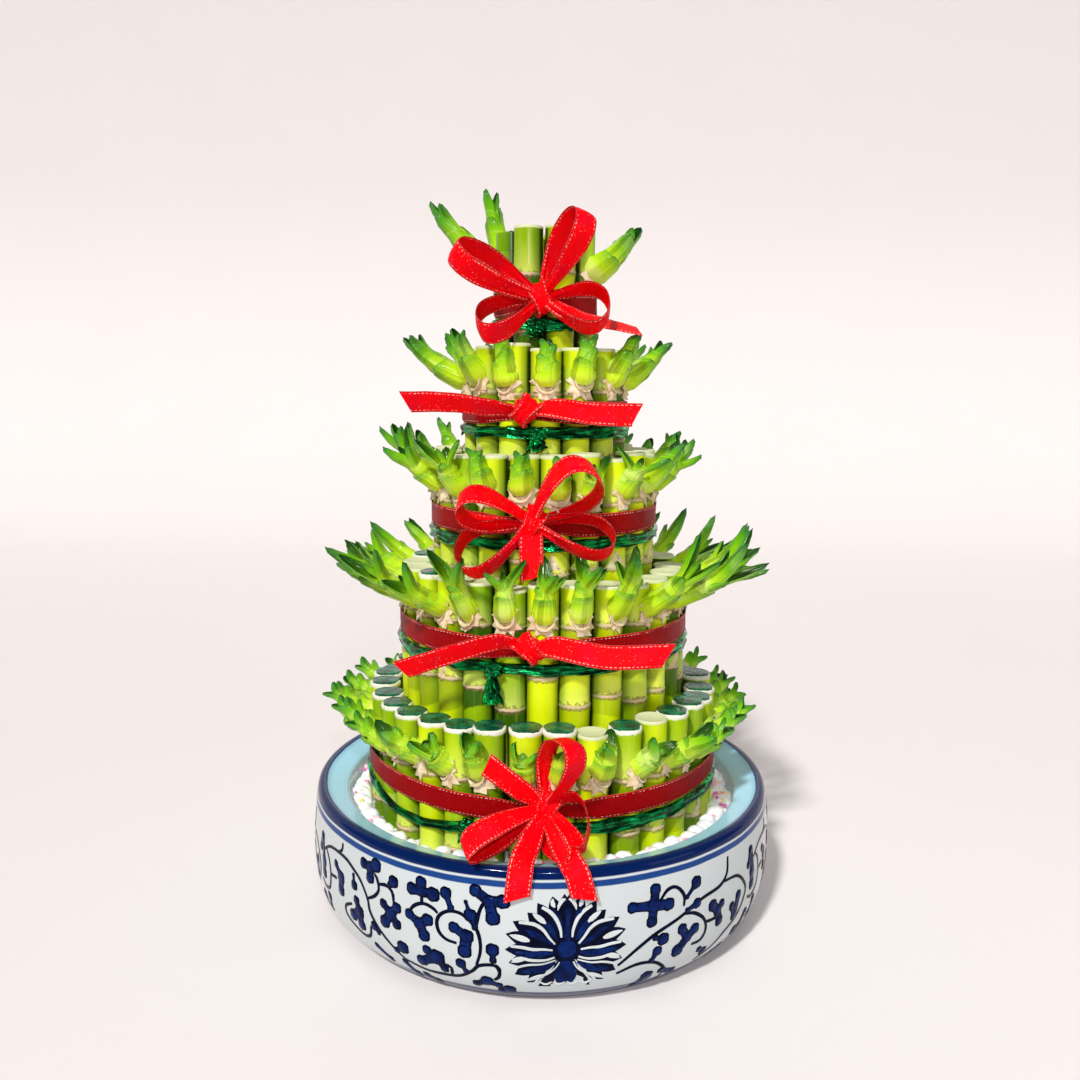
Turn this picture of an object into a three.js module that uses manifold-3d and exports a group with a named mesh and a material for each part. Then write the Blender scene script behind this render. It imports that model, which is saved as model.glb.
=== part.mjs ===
// A lucky bamboo tower: five rings of cut Dracaena canes, tied tier by tier with red ribbon
// and green foil, standing in white pebbles in a blue and white porcelain bowl.
// Units are millimetres, +Z is up, the front of the tower faces -Y, and the origin is the
// middle of the bowl's foot, on the surface that the bowl stands on.
import * as THREE from 'three';
import { mergeVertices } from 'three/addons/utils/BufferGeometryUtils.js';
import Module from 'manifold-3d';

const wasm = await Module();
wasm.setup();

const TURN = 2 * Math.PI;
const UP = new THREE.Vector3(0, 0, 1);
const GAP = 0.3; // between pieces that touch

// Driving dimensions
const BOWL = {
  segments: 36,
  footInner: 80,
  footOuter: 88.5,
  footRecess: 2.5,
  floor: 6,
  widest: 103,
  widestHeight: 36,
  lipRadius: 101.2,
  lipHeight: 57.5,
  lipWidth: 4.6,
  flangeInner: 88.4,
  flangeHeight: 54,
  wellRadius: 85.5,
};
const PEBBLE = { count: 52, level: 45.5, radial: 4.2, tangential: 5.4, tall: 4.4 };

// The tiers from the outside in. Each is a ring of `bundles` bundles of `each` canes, `turn`
// degrees round from the front. Shoot lengths run from the left of the tower to its right,
// rise is how steeply a shoot leaves its cane and ends, and lean swings it away from the front.
// Behind the bow a shoot is shorter by `hide`. In the top tier no shoot grows within `bare`
// degrees of the front, and the one on the `upright` cane stands nearly straight up.
const TIERS = [
  {
    name: 'tier1', bundles: 11, each: 3, turn: 5.5, ring: 70.9, cane: 6.7, top: 100, bandTop: 75,
    shoot: { length: [22, 22], vary: 7, width: 3.5, rise: [18, 56], lean: 46, hide: 0.4, blades: 0 },
  },
  {
    name: 'tier2', bundles: 9, each: 3, turn: 0, ring: 56.6, cane: 6.6, top: 154, bandTop: 134.5,
    shoot: { length: [35, 43], vary: 7, width: 3.8, rise: [22, 54], lean: 16, hide: 0.3, blades: 2 },
  },
  {
    name: 'tier3', bundles: 7, each: 3, turn: 6, ring: 42.7, cane: 6.4, top: 204, bandTop: 181.5,
    shoot: { length: [30, 24], vary: 6, width: 3.8, rise: [36, 76], lean: 14, hide: 0.4, blades: 1 },
  },
  {
    name: 'tier4', bundles: 7, each: 2, turn: 13, ring: 28.9, cane: 6.45, top: 248, bandTop: 225.5,
    shoot: { length: [31, 26], vary: 6, width: 3.8, rise: [30, 66], lean: 12, hide: 0.3, blades: 0 },
  },
  {
    name: 'tier5', bundles: 7, each: 1, turn: 22.4, ring: 15.2, cane: 6.3, top: 298, bandTop: 269.5,
    shoot: {
      length: [42, 28], vary: 3, width: 3.7, rise: [30, 58], lean: 0, hide: 0, blades: 0,
      bare: 45, upright: 4,
    },
  },
];
const CANE = { sides: 8, press: 0.4, sizeScatter: 0.04, topScatter: 3, core: 6.8 };
const SHOOT = {
  sides: 4, sunk: 0.82, root: 2.2, aboveBand: 6.2, heightScatter: 3, riseScatter: 12,
  headingScatter: 8, steepest: [76, 84], uprightTilt: 28,
};
// The sheath's rings: where they stand along the bud and how wide they are, as shares
const SHEATH = { root: 0.85, mouth: [0.46, 1.1], neck: [0.52, 0.74], lipWide: 0.3, lipLong: 0.2 };
// Open leaves: shares of their shoot's length and width, and degrees that they stand off it
const LEAF = { long: 0.5, wide: 0.6, start: 0.42, out: 16, aside: [22, -24] };
// Shoots within this arc or angle of the front stand close behind the bow
const BOW_REACH = { arc: 30, most: 0.9 };

const RIBBON = { width: 9.5, thickness: 0.7 };
const KNOT = { wide: 6, deep: 3.6, tall: 5.4, pinch: 0.45 };
const FOIL = { height: 6.2, thickness: 1.3, wrinkle: 0.5 };

// The bows, from the lowest tier up. Every place is measured from the knot: to the right,
// out to the front, and up. A loop has a tip, and its two runs stand apart by an offset across
// the view and a depth along it. Tails run through points with a roll in degrees at each end,
// and a skew of their cut end.
const BOWS = [
  {
    knot: [1.3, 73],
    loops: [
      { tip: [8, 4, 31], offset: -10, depth: 13 },
      { tip: [-29, 10, -7], offset: -8, depth: 12 },
      { tip: [14, 5, -4], offset: -13, depth: 11 },
    ],
    tails: [
      { points: [[-11, 4, 10], [-22, 5, 19]], roll: [70, 80], skew: 3 },
      { points: [[-4, 9, -6], [-8, 19, -11.5], [-9, 22.6, -16], [-10, 23, -25]], roll: [75, 88], skew: 4 },
      { points: [[4, 9, -6], [9, 19, -11.5], [12, 22.2, -16], [14.5, 22.4, -25]], roll: [75, 88], skew: -4 },
    ],
  },
  {
    knot: [-5, 131.5],
    loops: [],
    tails: [
      { points: [[-12, 2, 3], [-30, 2, -2], [-50, 0, -9]], roll: [50, 66], skew: 3 },
      { points: [[10, 2, 1], [30, 1, -3], [54, -2, -3]], roll: [40, 84], skew: -6 },
    ],
  },
  {
    knot: [-5, 178.5],
    loops: [
      { tip: [-28, 5, 9], offset: -13, depth: 12 },
      { tip: [24, 6, 22], offset: 18, depth: 13 },
      { tip: [-28, 3, -14], offset: 14, depth: 13 },
      { tip: [32, 4.5, -6], offset: -12, depth: 10.5 },
    ],
    tails: [{ points: [[0, 5, -8], [0.5, 7, -21]], roll: [80, 84], skew: 2 }],
  },
  {
    knot: [-8, 222],
    loops: [],
    tails: [
      { points: [[-14, 2, 1], [-30, 2, 3], [-48, 0, 3]], roll: [40, 62], skew: 4 },
      { points: [[12, 2, 1], [28, 2, -1], [45, 0, -1.5]], roll: [40, 80], skew: -5 },
    ],
  },
  {
    knot: [-2, 267],
    loops: [
      { tip: [-34, 6, 18], offset: 9, depth: 14 },
      { tip: [16, 6, 32], offset: -8, depth: 14 },
      { tip: [27, 6, -6], offset: -16, depth: 11 },
      { tip: [-25, 8, -12], offset: 12, depth: 12 },
    ],
    tails: [{ points: [[14, 5, -7], [40, 4, -13]], roll: [50, 20], skew: 2 }],
  },
];

// A foil knot's lump, its two ends from the knot and their widths, and how thick they are
const FOIL_KNOT = { lump: [3.4, 2.2, 2.6], aside: 1.5, out: 0.6, drop: 2.4, widths: [2, 3.6], thickness: 0.8 };

// How far a loop's middle stands off the band, as a share of its depth
const BOW_STANDOFF = 0.65;

// Foil knots: degrees round from the front, and how far the twisted ends hang
const FOIL_KNOTS = [
  { angle: -21, hang: 4 },
  { angle: -17, hang: 10 },
  { angle: 150, hang: 4 },
  { angle: -4, hang: 3 },
  { angle: -10, hang: 1 },
];

// Materials
const glaze = new THREE.MeshStandardMaterial({ color: 0xe8efee, roughness: 0.12, metalness: 0 });
const stone = new THREE.MeshStandardMaterial({ color: 0xf2f3f7, roughness: 0.35, metalness: 0 });
const stalk = new THREE.MeshStandardMaterial({ color: 0x8fc21c, roughness: 0.4, metalness: 0 });
const satin = new THREE.MeshStandardMaterial({ color: 0xd9041c, roughness: 0.5, metalness: 0 });
const greenFoil = new THREE.MeshStandardMaterial({ color: 0x0a5c33, roughness: 0.2, metalness: 0.8 });

// Helpers

const radians = THREE.MathUtils.degToRad;
const { clamp, lerp } = THREE.MathUtils;

/** A repeatable draw from -0.5 to 0.5; salt tells one draw for a cane from another. */
function scatter(tierIndex, index, salt) {
  const wave = Math.sin(tierIndex * 127.1 + index * 311.7 + salt * 74.7) * 43758.5453;
  return wave - Math.floor(wave) - 0.5;
}

/** The place at an angle from the front, positive to the right, as seen from above. */
function around(angle, radius, height) {
  return new THREE.Vector3(radius * Math.sin(angle), -radius * Math.cos(angle), height);
}

/** A closed skin over rings of equally many points, capped at its ends or joined in a loop. */
function skinned(rings, looped = false) {
  const count = rings[0].length;
  const spans = looped ? rings.length : rings.length - 1;
  const index = [];
  for (let i = 0; i < spans; i += 1) {
    const [here, next] = [i * count, ((i + 1) % rings.length) * count];
    for (let k = 0; k < count; k += 1) {
      const beside = (k + 1) % count;
      index.push(here + k, here + beside, next + beside, here + k, next + beside, next + k);
    }
  }
  const end = (rings.length - 1) * count;
  for (let k = 1; k < count - 1 && !looped; k += 1) {
    index.push(0, k + 1, k, end, end + k, end + k + 1);
  }
  const geometry = new THREE.BufferGeometry().setFromPoints(rings.flat());
  geometry.setIndex(index);
  return geometry;
}

/** A body turned about +Z from [radius, height] pairs. */
function turned(profile, segments) {
  const points = profile.map(([radius, height]) => new THREE.Vector2(radius, height));
  return new THREE.LatheGeometry(points, segments).rotateX(Math.PI / 2);
}

/** Merges a geometry's seams, drops its empty triangles and turns its faces outwards. */
function closed(geometry) {
  const bare = geometry.clone();
  bare.deleteAttribute('normal');
  bare.deleteAttribute('uv');
  const merged = mergeVertices(bare, 1e-4);
  const { position } = merged.attributes;
  const kept = [];
  const [a, b, c] = [new THREE.Vector3(), new THREE.Vector3(), new THREE.Vector3()];
  let volume = 0;
  for (let i = 0; i < merged.index.count; i += 3) {
    const [p, q, r] = [0, 1, 2].map((k) => merged.index.getX(i + k));
    if (p === q || q === r || r === p) continue;
    kept.push(p, q, r);
    a.fromBufferAttribute(position, p);
    b.fromBufferAttribute(position, q);
    c.fromBufferAttribute(position, r);
    volume += a.dot(b.cross(c));
  }
  merged.setIndex(volume < 0 ? kept.reverse() : kept);
  return merged;
}

/** The solid that a closed geometry bounds. */
function solid(geometry) {
  const shape = closed(geometry);
  return new wasm.Manifold(new wasm.Mesh({
    numProp: 3,
    vertProperties: new Float32Array(shape.attributes.position.array),
    triVerts: new Uint32Array(shape.index.array),
  }));
}

/** The solid fused from several geometries that overlap. */
function fused(geometries) {
  return geometries.map(solid).reduce((sum, next) => sum.add(next));
}

/** A named mesh of a solid or of a geometry. */
function named(name, shape, material) {
  let geometry = shape;
  if (shape instanceof wasm.Manifold) {
    const { vertProperties, triVerts } = shape.getMesh();
    geometry = new THREE.BufferGeometry();
    geometry.setAttribute('position', new THREE.BufferAttribute(vertProperties, 3));
    geometry.setIndex(new THREE.BufferAttribute(triVerts, 1));
  } else {
    geometry = closed(shape);
  }
  geometry.computeVertexNormals();
  const mesh = new THREE.Mesh(geometry, material);
  mesh.name = name;
  return mesh;
}

// Bowl and pebbles

/** Radius of the bowl's outer wall at a height. */
function bowlWall(height) {
  const above = height > BOWL.widestHeight;
  const reach = above ? BOWL.lipHeight - BOWL.widestHeight : BOWL.widestHeight;
  const pull = above ? BOWL.widest - BOWL.lipRadius : BOWL.widest - BOWL.footOuter - 2;
  return BOWL.widest - pull * (Math.abs(height - BOWL.widestHeight) / reach) ** (above ? 2 : 3.6);
}

function bowl() {
  const { lipRadius, lipHeight, lipWidth, flangeInner, flangeHeight, wellRadius, floor } = BOWL;
  return turned([
    [0, BOWL.footRecess],
    [BOWL.footInner, BOWL.footRecess],
    [BOWL.footInner + 1, 0],
    [BOWL.footOuter, 0],
    ...[3, 9, 19, BOWL.widestHeight, 54].map((height) => [bowlWall(height), height]),
    [lipRadius - 0.6, lipHeight - 0.9],
    [lipRadius - lipWidth / 2, lipHeight],
    [lipRadius - lipWidth, lipHeight - 0.6],
    [flangeInner, flangeHeight],
    [flangeInner - 0.9, flangeHeight - 1.6],
    [wellRadius, floor + 3],
    [wellRadius - 3, floor],
    [0, floor],
  ], BOWL.segments);
}

/** How far from the axis the canes of a tier reach. */
function reach(tier) {
  return tier.ring + tier.cane * (1 + CANE.sizeScatter / 2);
}

/** The pebbles: a bed round the canes, with one row of larger than life pebbles raised on it. */
function pebbleBed() {
  const snug = Math.cos(Math.PI / BOWL.segments);
  const inner = reach(TIERS[0]) + GAP + 0.1;
  const outer = BOWL.wellRadius * snug - GAP;
  const foot = (BOWL.wellRadius - 3) * snug - GAP;
  const base = BOWL.floor + GAP;
  const bed = turned([
    [inner, base],
    [foot, base],
    [outer, base + 3],
    [outer + 1, PEBBLE.level],
    [inner, PEBBLE.level],
    [inner, base],
  ], BOWL.segments);
  const pebbles = [];
  const middle = (inner + outer + 1) / 2;
  for (let i = 0; i < PEBBLE.count; i += 1) {
    const grow = 1 + 0.12 * scatter(9, i, 1);
    const pebble = new THREE.OctahedronGeometry(1, 0);
    pebble.rotateX(TURN * scatter(9, i, 2)).rotateY(TURN * scatter(9, i, 3));
    pebble.scale(PEBBLE.tangential * grow, PEBBLE.radial, PEBBLE.tall * grow);
    const angle = (TURN * i) / PEBBLE.count;
    const place = around(angle, middle, PEBBLE.level + 0.6 + 2 * scatter(9, i, 4));
    pebbles.push(pebble.rotateZ(angle).translate(place.x, place.y, place.z));
  }
  return fused([bed, ...pebbles]);
}

// Canes and shoots

/** Where each cane of a tier stands, its radius and the height of its cut top. */
function canesOf(tier, tierIndex) {
  const canes = [];
  for (let bundle = 0; bundle < tier.bundles; bundle += 1) {
    const first = bundle * tier.each;
    const radii = Array.from({ length: tier.each }, (_, k) => (
      tier.cane * (1 + CANE.sizeScatter * scatter(tierIndex, first + k, 1))));
    const steps = radii.map((radius, k) => (
      k === 0 ? 0 : 2 * Math.asin((radii[k - 1] + radius - CANE.press) / 2 / tier.ring)));
    const span = steps.reduce((sum, step) => sum + step);
    let angle = radians(tier.turn) + (TURN * bundle) / tier.bundles - span / 2;
    radii.forEach((radius, k) => {
      angle += steps[k];
      const top = tier.top + CANE.topScatter * scatter(tierIndex, first + k, 2);
      canes.push({ bundle, index: first + k, angle, radius, top });
    });
  }
  return canes;
}

/** A cut cane on the +Z axis, from the bowl's floor to its cut top. */
function caneBody(radius, top) {
  return skinned([BOWL.floor + GAP, top].map((height) => (
    Array.from({ length: CANE.sides }, (_, k) => around((TURN * k) / CANE.sides, radius, height)))));
}

/** A bud along +Z: a leaf sheath drawn out to a point on its outer side, and a spear. */
function sheathedBud(length, width) {
  const ring = (along, wide, lip) => Array.from({ length: SHOOT.sides }, (_, k) => {
    const angle = (TURN * k) / SHOOT.sides;
    const drawn = k === 0 ? lip : 0;
    const radius = width * (wide + SHEATH.lipWide * drawn);
    return new THREE.Vector3(
      radius * Math.cos(angle),
      radius * Math.sin(angle),
      length * (along + SHEATH.lipLong * drawn),
    );
  });
  return skinned([
    ring(-SHOOT.root / length, SHEATH.root, 0),
    ring(...SHEATH.mouth, 1),
    ring(...SHEATH.neck, 0),
    ring(1, 0, 0),
  ]);
}

/** An open leaf along +Z, a slim three-sided wedge with its root at the origin, wide across Y. */
function leafBlade(length, width) {
  const root = [[width * 0.5, 0], [-width * 0.3, width], [-width * 0.3, -width]];
  return skinned([
    root.map(([x, y]) => new THREE.Vector3(x, y, 0)),
    root.map(() => new THREE.Vector3(0, 0, length)),
  ]);
}

/** Bends what stands along +Z into an arc that leaves the +X axis at one rise and ends at another. */
function arched(geometry, length, [from, to]) {
  const start = radians(from);
  const bend = (radians(to) - start) / length;
  const place = geometry.attributes.position;
  for (let i = 0; i < place.count; i += 1) {
    const rise = start + bend * place.getZ(i);
    const out = (Math.sin(rise) - Math.sin(start)) / bend;
    const up = (Math.cos(start) - Math.cos(rise)) / bend;
    const off = place.getX(i);
    place.setXYZ(i, out + off * Math.sin(rise), place.getY(i), up - off * Math.cos(rise));
  }
  return geometry;
}

/** 1 right behind the bow, falling to 0 round the sides of the tower. */
function behindBow(angle, ring) {
  const bowReach = Math.min(BOW_REACH.arc / ring, BOW_REACH.most);
  return clamp(1.5 - Math.abs(angle) / bowReach, 0, 1);
}

/** The shoot of a cane and its open leaves, which grow up and away from the cane's side. */
function shootOf(tier, tierIndex, cane) {
  const { length, vary, width, rise, lean, hide, blades, bare = 0, upright } = tier.shoot;
  const angle = Math.atan2(Math.sin(cane.angle), Math.cos(cane.angle));
  if (Math.abs(angle) < radians(bare)) return [];
  const hidden = behindBow(angle, tier.ring);
  const full = lerp(length[0], length[1], 0.5 + Math.sin(angle) / 2);
  const long = (full + vary * scatter(tierIndex, cane.index, 3)) * (1 - hide * hidden);
  const sway = SHOOT.riseScatter * scatter(tierIndex, cane.index, 5);
  const tilt = cane.index === upright ? SHOOT.uprightTilt : sway;
  const steep = rise.map((degrees, end) => lerp(degrees + tilt, SHOOT.steepest[end], hidden));
  const parts = [arched(sheathedBud(long, width), long, steep)];
  for (let k = 0; k < blades; k += 1) {
    const leaf = leafBlade(long * LEAF.long, width * LEAF.wide);
    leaf.rotateY(radians(LEAF.out)).rotateX(radians(LEAF.aside[k])).translate(0, 0, long * LEAF.start);
    parts.push(arched(leaf, long, steep));
  }
  const swing = lean * Math.sin(2 * angle) * (Math.cos(angle) > 0 ? 1 : 0.3);
  const heading = angle + radians(swing + SHOOT.headingScatter * scatter(tierIndex, cane.index, 4));
  const height = tier.bandTop + SHOOT.aboveBand + SHOOT.heightScatter * scatter(tierIndex, cane.index, 6);
  const root = around(heading, cane.radius * SHOOT.sunk, height);
  return parts.map((part) => part.rotateZ(heading - Math.PI / 2).translate(root.x, root.y, root.z));
}

/** The bundles of a tier, each fused from a few canes with their shoots. */
function caneBundles(tier, tierIndex) {
  const canes = canesOf(tier, tierIndex);
  return Array.from({ length: tier.bundles }, (_, bundle) => {
    const parts = canes.filter((cane) => cane.bundle === bundle).flatMap((cane) => {
      const body = caneBody(cane.radius, cane.top).rotateZ(cane.angle);
      const place = around(cane.angle, tier.ring, 0);
      return [body, ...shootOf(tier, tierIndex, cane)].map((part) => part.translate(place.x, place.y, 0));
    });
    return named(`${tier.name}_canes_${String(bundle + 1).padStart(2, '0')}`, fused(parts), stalk);
  });
}

// Ribbons and foil

/** The outline of something drawn tight round a tier's canes, from above, at a clearance. */
function drawnTight(tier, tierIndex, clearance) {
  const largest = tier.cane * (1 + CANE.sizeScatter / 2) + clearance;
  const canes = canesOf(tier, tierIndex);
  const half = Math.PI / canes.length;
  const turns = { 7: [-0.9, 0, 0.9], 14: [-0.6, 0.6] }[canes.length] ?? [0];
  return canes.flatMap((cane) => turns.map((share) => (
    around(cane.angle, tier.ring, 0).add(around(cane.angle + share * half, largest, 0)))));
}

/** How far to the front an outline reaches at a distance to the right of the middle. */
function frontOf(outline, side) {
  const crossings = outline.flatMap((from, i) => {
    const to = outline[(i + 1) % outline.length];
    const share = (side - from.x) / (to.x - from.x);
    return share >= 0 && share <= 1 ? [-lerp(from.y, to.y, share)] : [];
  });
  return Math.max(...crossings);
}

/** A strap: a flat section carried along points, with its width direction and width at each. */
function strap(points, across, widths, thickness, skew = 0) {
  const last = points.length - 1;
  return skinned(points.map((point, i) => {
    const ahead = points[Math.min(i + 1, last)].clone().sub(points[Math.max(i - 1, 0)]).normalize();
    const wide = across[i].clone().addScaledVector(ahead, -across[i].dot(ahead)).normalize();
    const thick = ahead.clone().cross(wide).multiplyScalar(thickness / 2);
    return [[-1, -1], [1, -1], [1, 1], [-1, 1]].map(([w, t]) => point.clone()
      .addScaledVector(wide, (w * widths[i]) / 2)
      .addScaledVector(thick, t)
      .addScaledVector(ahead, i === last ? (skew * w) / 2 : 0));
  }));
}

/** The ribbon's width direction on a path: straight out to the front, rolled about the path. */
function rolled(ahead, degrees) {
  const facing = new THREE.Vector3(0, -1, 0);
  const beside = ahead.clone().cross(facing).normalize();
  return facing.multiplyScalar(Math.cos(radians(degrees))).addScaledVector(beside, Math.sin(radians(degrees)));
}

/** The ribbon's width at a share of its way from the knot, where it is pinched, to its open run. */
function pinched(share) {
  return RIBBON.width * lerp(KNOT.pinch, 1, clamp(share, 0, 1));
}

/** A loop of ribbon from the knot out to its tip and back, held off the band behind it. */
function bowLoop(knot, { tip: [side, out, up], offset, depth }) {
  const steps = 8;
  const tip = new THREE.Vector3(side, -out, up);
  const facing = new THREE.Vector3(0, -1, 0);
  const beside = facing.clone().cross(tip).normalize();
  const spread = beside.multiplyScalar(offset / 2).addScaledVector(facing, depth / 2);
  const path = (share) => knot.clone()
    .addScaledVector(tip, Math.sin(Math.PI * share))
    .addScaledVector(spread, Math.sin(TURN * share))
    .addScaledVector(facing, BOW_STANDOFF * depth * Math.sin(Math.PI * share) ** 2);
  const shares = Array.from({ length: steps + 1 }, (_, i) => i / steps);
  const across = shares.map(() => tip.clone().cross(spread).normalize());
  const widths = shares.map((share) => pinched(1.6 * Math.sin(Math.PI * share)));
  return strap(shares.map(path), across, widths, RIBBON.thickness);
}

/** A tail of ribbon from the knot through its points, rolling from one angle to another. */
function bowTail(knot, { points, roll, skew }) {
  const steps = 5;
  const stops = [[0, 0, 0], ...points].map(([side, out, up]) => new THREE.Vector3(side, -out, up).add(knot));
  const curve = new THREE.CatmullRomCurve3(stops);
  const shares = Array.from({ length: steps + 1 }, (_, i) => i / steps);
  const across = shares.map((share) => rolled(curve.getTangent(share), lerp(roll[0], roll[1], share)));
  const widths = shares.map((share) => pinched(3 * share));
  return strap(shares.map((share) => curve.getPoint(share)), across, widths, RIBBON.thickness, skew);
}

/** One tier's ribbon: its band round the canes, with the knot, loops and tails of its bow. */
function ribbon(tier, tierIndex) {
  const inside = drawnTight(tier, tierIndex, GAP);
  const outside = drawnTight(tier, tierIndex, GAP + RIBBON.thickness);
  const low = tier.bandTop - RIBBON.width;
  const band = skinned(inside.map((point, i) => [
    point.clone().setZ(low),
    point.clone().setZ(tier.bandTop),
    outside[i].clone().setZ(tier.bandTop),
    outside[i].clone().setZ(low),
  ]), true);
  const { knot: [side, height], loops, tails } = BOWS[tierIndex];
  const knot = new THREE.Vector3(side, -frontOf(inside, side) - KNOT.deep, height);
  const lump = new THREE.IcosahedronGeometry(1, 0).scale(KNOT.wide, KNOT.deep, KNOT.tall);
  return named(`${tier.name}_ribbon`, fused([
    band,
    lump.translate(knot.x, knot.y, knot.z),
    ...loops.map((loop) => bowLoop(knot, loop)),
    ...tails.map((tail) => bowTail(knot, tail)),
  ]), satin);
}

/** One tier's foil tie under its ribbon: a wrinkled band with a knot and its twisted ends. */
function foilTie(tier, tierIndex) {
  const inside = drawnTight(tier, tierIndex, GAP);
  const outside = drawnTight(tier, tierIndex, GAP + FOIL.thickness);
  const high = tier.bandTop - RIBBON.width - GAP;
  const low = high - FOIL.height;
  const tie = skinned(inside.map((point, i) => {
    const crush = 1 + (FOIL.wrinkle * scatter(tierIndex, i, 8)) / outside[i].length();
    const drop = 1.6 * FOIL.wrinkle * scatter(tierIndex, i, 9);
    return [
      point.clone().setZ((low + high) / 2),
      outside[i].clone().multiplyScalar(crush).setZ(high),
      outside[i].clone().multiplyScalar(crush).setZ(low + 0.4 + drop),
    ];
  }), true);
  const { angle, hang } = FOIL_KNOTS[tierIndex];
  const swung = outside.map((point) => point.clone().applyAxisAngle(UP, -radians(angle)));
  const lump = new THREE.IcosahedronGeometry(1, 0).scale(...FOIL_KNOT.lump);
  const ends = [-1, 1].map((side) => strap(
    [
      new THREE.Vector3(0, 0, 0),
      new THREE.Vector3(side * FOIL_KNOT.aside, -FOIL_KNOT.out, -FOIL_KNOT.drop - hang),
    ],
    [new THREE.Vector3(1, 0, 0), new THREE.Vector3(1, side * FOIL_KNOT.out, 0)],
    FOIL_KNOT.widths,
    FOIL_KNOT.thickness,
    side,
  ));
  const place = around(radians(angle), frontOf(swung, 0) + 0.9, (low + high) / 2);
  const knot = [lump, ...ends].map((part) => part.rotateZ(radians(angle)).translate(place.x, place.y, place.z));
  return named(`${tier.name}_foil_tie`, fused([tie, ...knot]), greenFoil);
}

// Assembly

const tower = new THREE.Group();
tower.add(named('bowl', bowl(), glaze));
tower.add(named('pebble_bed', pebbleBed(), stone));
TIERS.forEach((tier, tierIndex) => {
  const group = new THREE.Group();
  group.add(...caneBundles(tier, tierIndex));
  group.add(ribbon(tier, tierIndex));
  group.add(foilTie(tier, tierIndex));
  tower.add(group);
});
tower.add(named('core_cane', caneBody(CANE.core, TIERS[4].top - CANE.topScatter), stalk));

export default tower;
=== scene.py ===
"""Dresses the lucky bamboo tower: canes and shoots, tied ribbons, foil, pebbles and the bowl.

All sizes are in millimetres, as in the CAD source, and a finished piece is brought to metres
when it is put in place. The front of the tower faces -Y and +Z is up.
"""

import logging
import math
from dataclasses import dataclass, field
from enum import Enum
from typing import Callable, Sequence

import bmesh
import bpy
from mathutils import Matrix, Vector
from mathutils.noise import noise

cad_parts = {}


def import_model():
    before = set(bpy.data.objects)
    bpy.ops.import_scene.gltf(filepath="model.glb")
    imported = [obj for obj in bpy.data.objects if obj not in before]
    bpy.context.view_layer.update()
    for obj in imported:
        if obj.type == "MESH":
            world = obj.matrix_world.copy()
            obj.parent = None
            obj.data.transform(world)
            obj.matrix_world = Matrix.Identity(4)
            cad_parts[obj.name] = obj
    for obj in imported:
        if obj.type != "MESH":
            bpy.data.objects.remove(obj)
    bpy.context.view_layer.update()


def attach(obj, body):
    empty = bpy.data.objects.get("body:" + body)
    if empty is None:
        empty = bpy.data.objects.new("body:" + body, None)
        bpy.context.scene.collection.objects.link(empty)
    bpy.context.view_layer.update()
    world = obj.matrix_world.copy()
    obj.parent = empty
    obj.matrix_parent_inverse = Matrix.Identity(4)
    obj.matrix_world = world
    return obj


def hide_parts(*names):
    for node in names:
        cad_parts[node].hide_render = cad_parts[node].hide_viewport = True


MM = 0.001
TURN = 2 * math.pi
FRONT = Vector((0, -1, 0))
UP = Vector((0, 0, 1))
log = logging.getLogger("lucky_bamboo")

Row = list[Vector]
Pair = tuple[float, float]
Triple = tuple[float, float, float]
Colour = Triple
Material = bpy.types.Material
Piece = bpy.types.Object
Socket = bpy.types.NodeSocket
Number = "Term | float"


# Sums that place the pieces where the CAD nodes stand


def scatter(rank: int, index: float, salt: float) -> float:
    """A repeatable draw from -0.5 to 0.5; salt tells one draw from another."""
    wave = math.sin(rank * 127.1 + index * 311.7 + salt * 74.7) * 43758.5453
    return wave - math.floor(wave) - 0.5


def around(angle: float, radius: float, height: float) -> Vector:
    """The place at an angle from the front, positive to the right, seen from above."""
    return Vector((radius * math.sin(angle), -radius * math.cos(angle), height))


def lerp(start: float, end: float, share: float) -> float:
    """The number at a share of the way from start to end."""
    return start + (end - start) * share


def clamp(value: float, low: float = 0.0, high: float = 1.0) -> float:
    """The value kept between low and high."""
    return max(low, min(high, value))


def table(stops: Sequence[Pair], at: float) -> float:
    """Reads a smooth line through (place, value) stops at a place."""
    if at <= stops[0][0]:
        return stops[0][1]
    for (a, low), (b, high) in zip(stops, stops[1:]):
        if at <= b:
            share = (at - a) / (b - a)
            return lerp(low, high, share * share * (3 - 2 * share))
    return stops[-1][1]


def curve_through(points: Sequence[Vector], share: float) -> Vector:
    """The point at a share of a smooth line through points."""
    spans = len(points) - 1
    place = clamp(share) * spans
    i = min(int(place), spans - 1)
    t = place - i
    before = points[i - 1] if i > 0 else points[0] * 2 - points[1]
    after = points[i + 2] if i + 2 <= spans else points[-1] * 2 - points[-2]
    a, b = points[i], points[i + 1]
    return 0.5 * (
        2 * a
        + (b - before) * t
        + (2 * before - 5 * a + 4 * b - after) * t**2
        + (3 * a - before - 3 * b + after) * t**3
    )


def subdivided(corners: Sequence[Vector], parts: int) -> Row:
    """The line through corners, with each of its sides cut in so many parts."""
    sides = zip(corners, corners[1:])
    return [*(a.lerp(b, s / parts) for a, b in sides for s in range(parts)), corners[-1]]


def run_along(points: Sequence[Vector]) -> list[float]:
    """How far along the line through points each of them lies."""
    run = [0.0]
    for a, b in zip(points, points[1:]):
        run.append(run[-1] + (b - a).length)
    return run


# The bench: steps that every piece goes through


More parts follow.
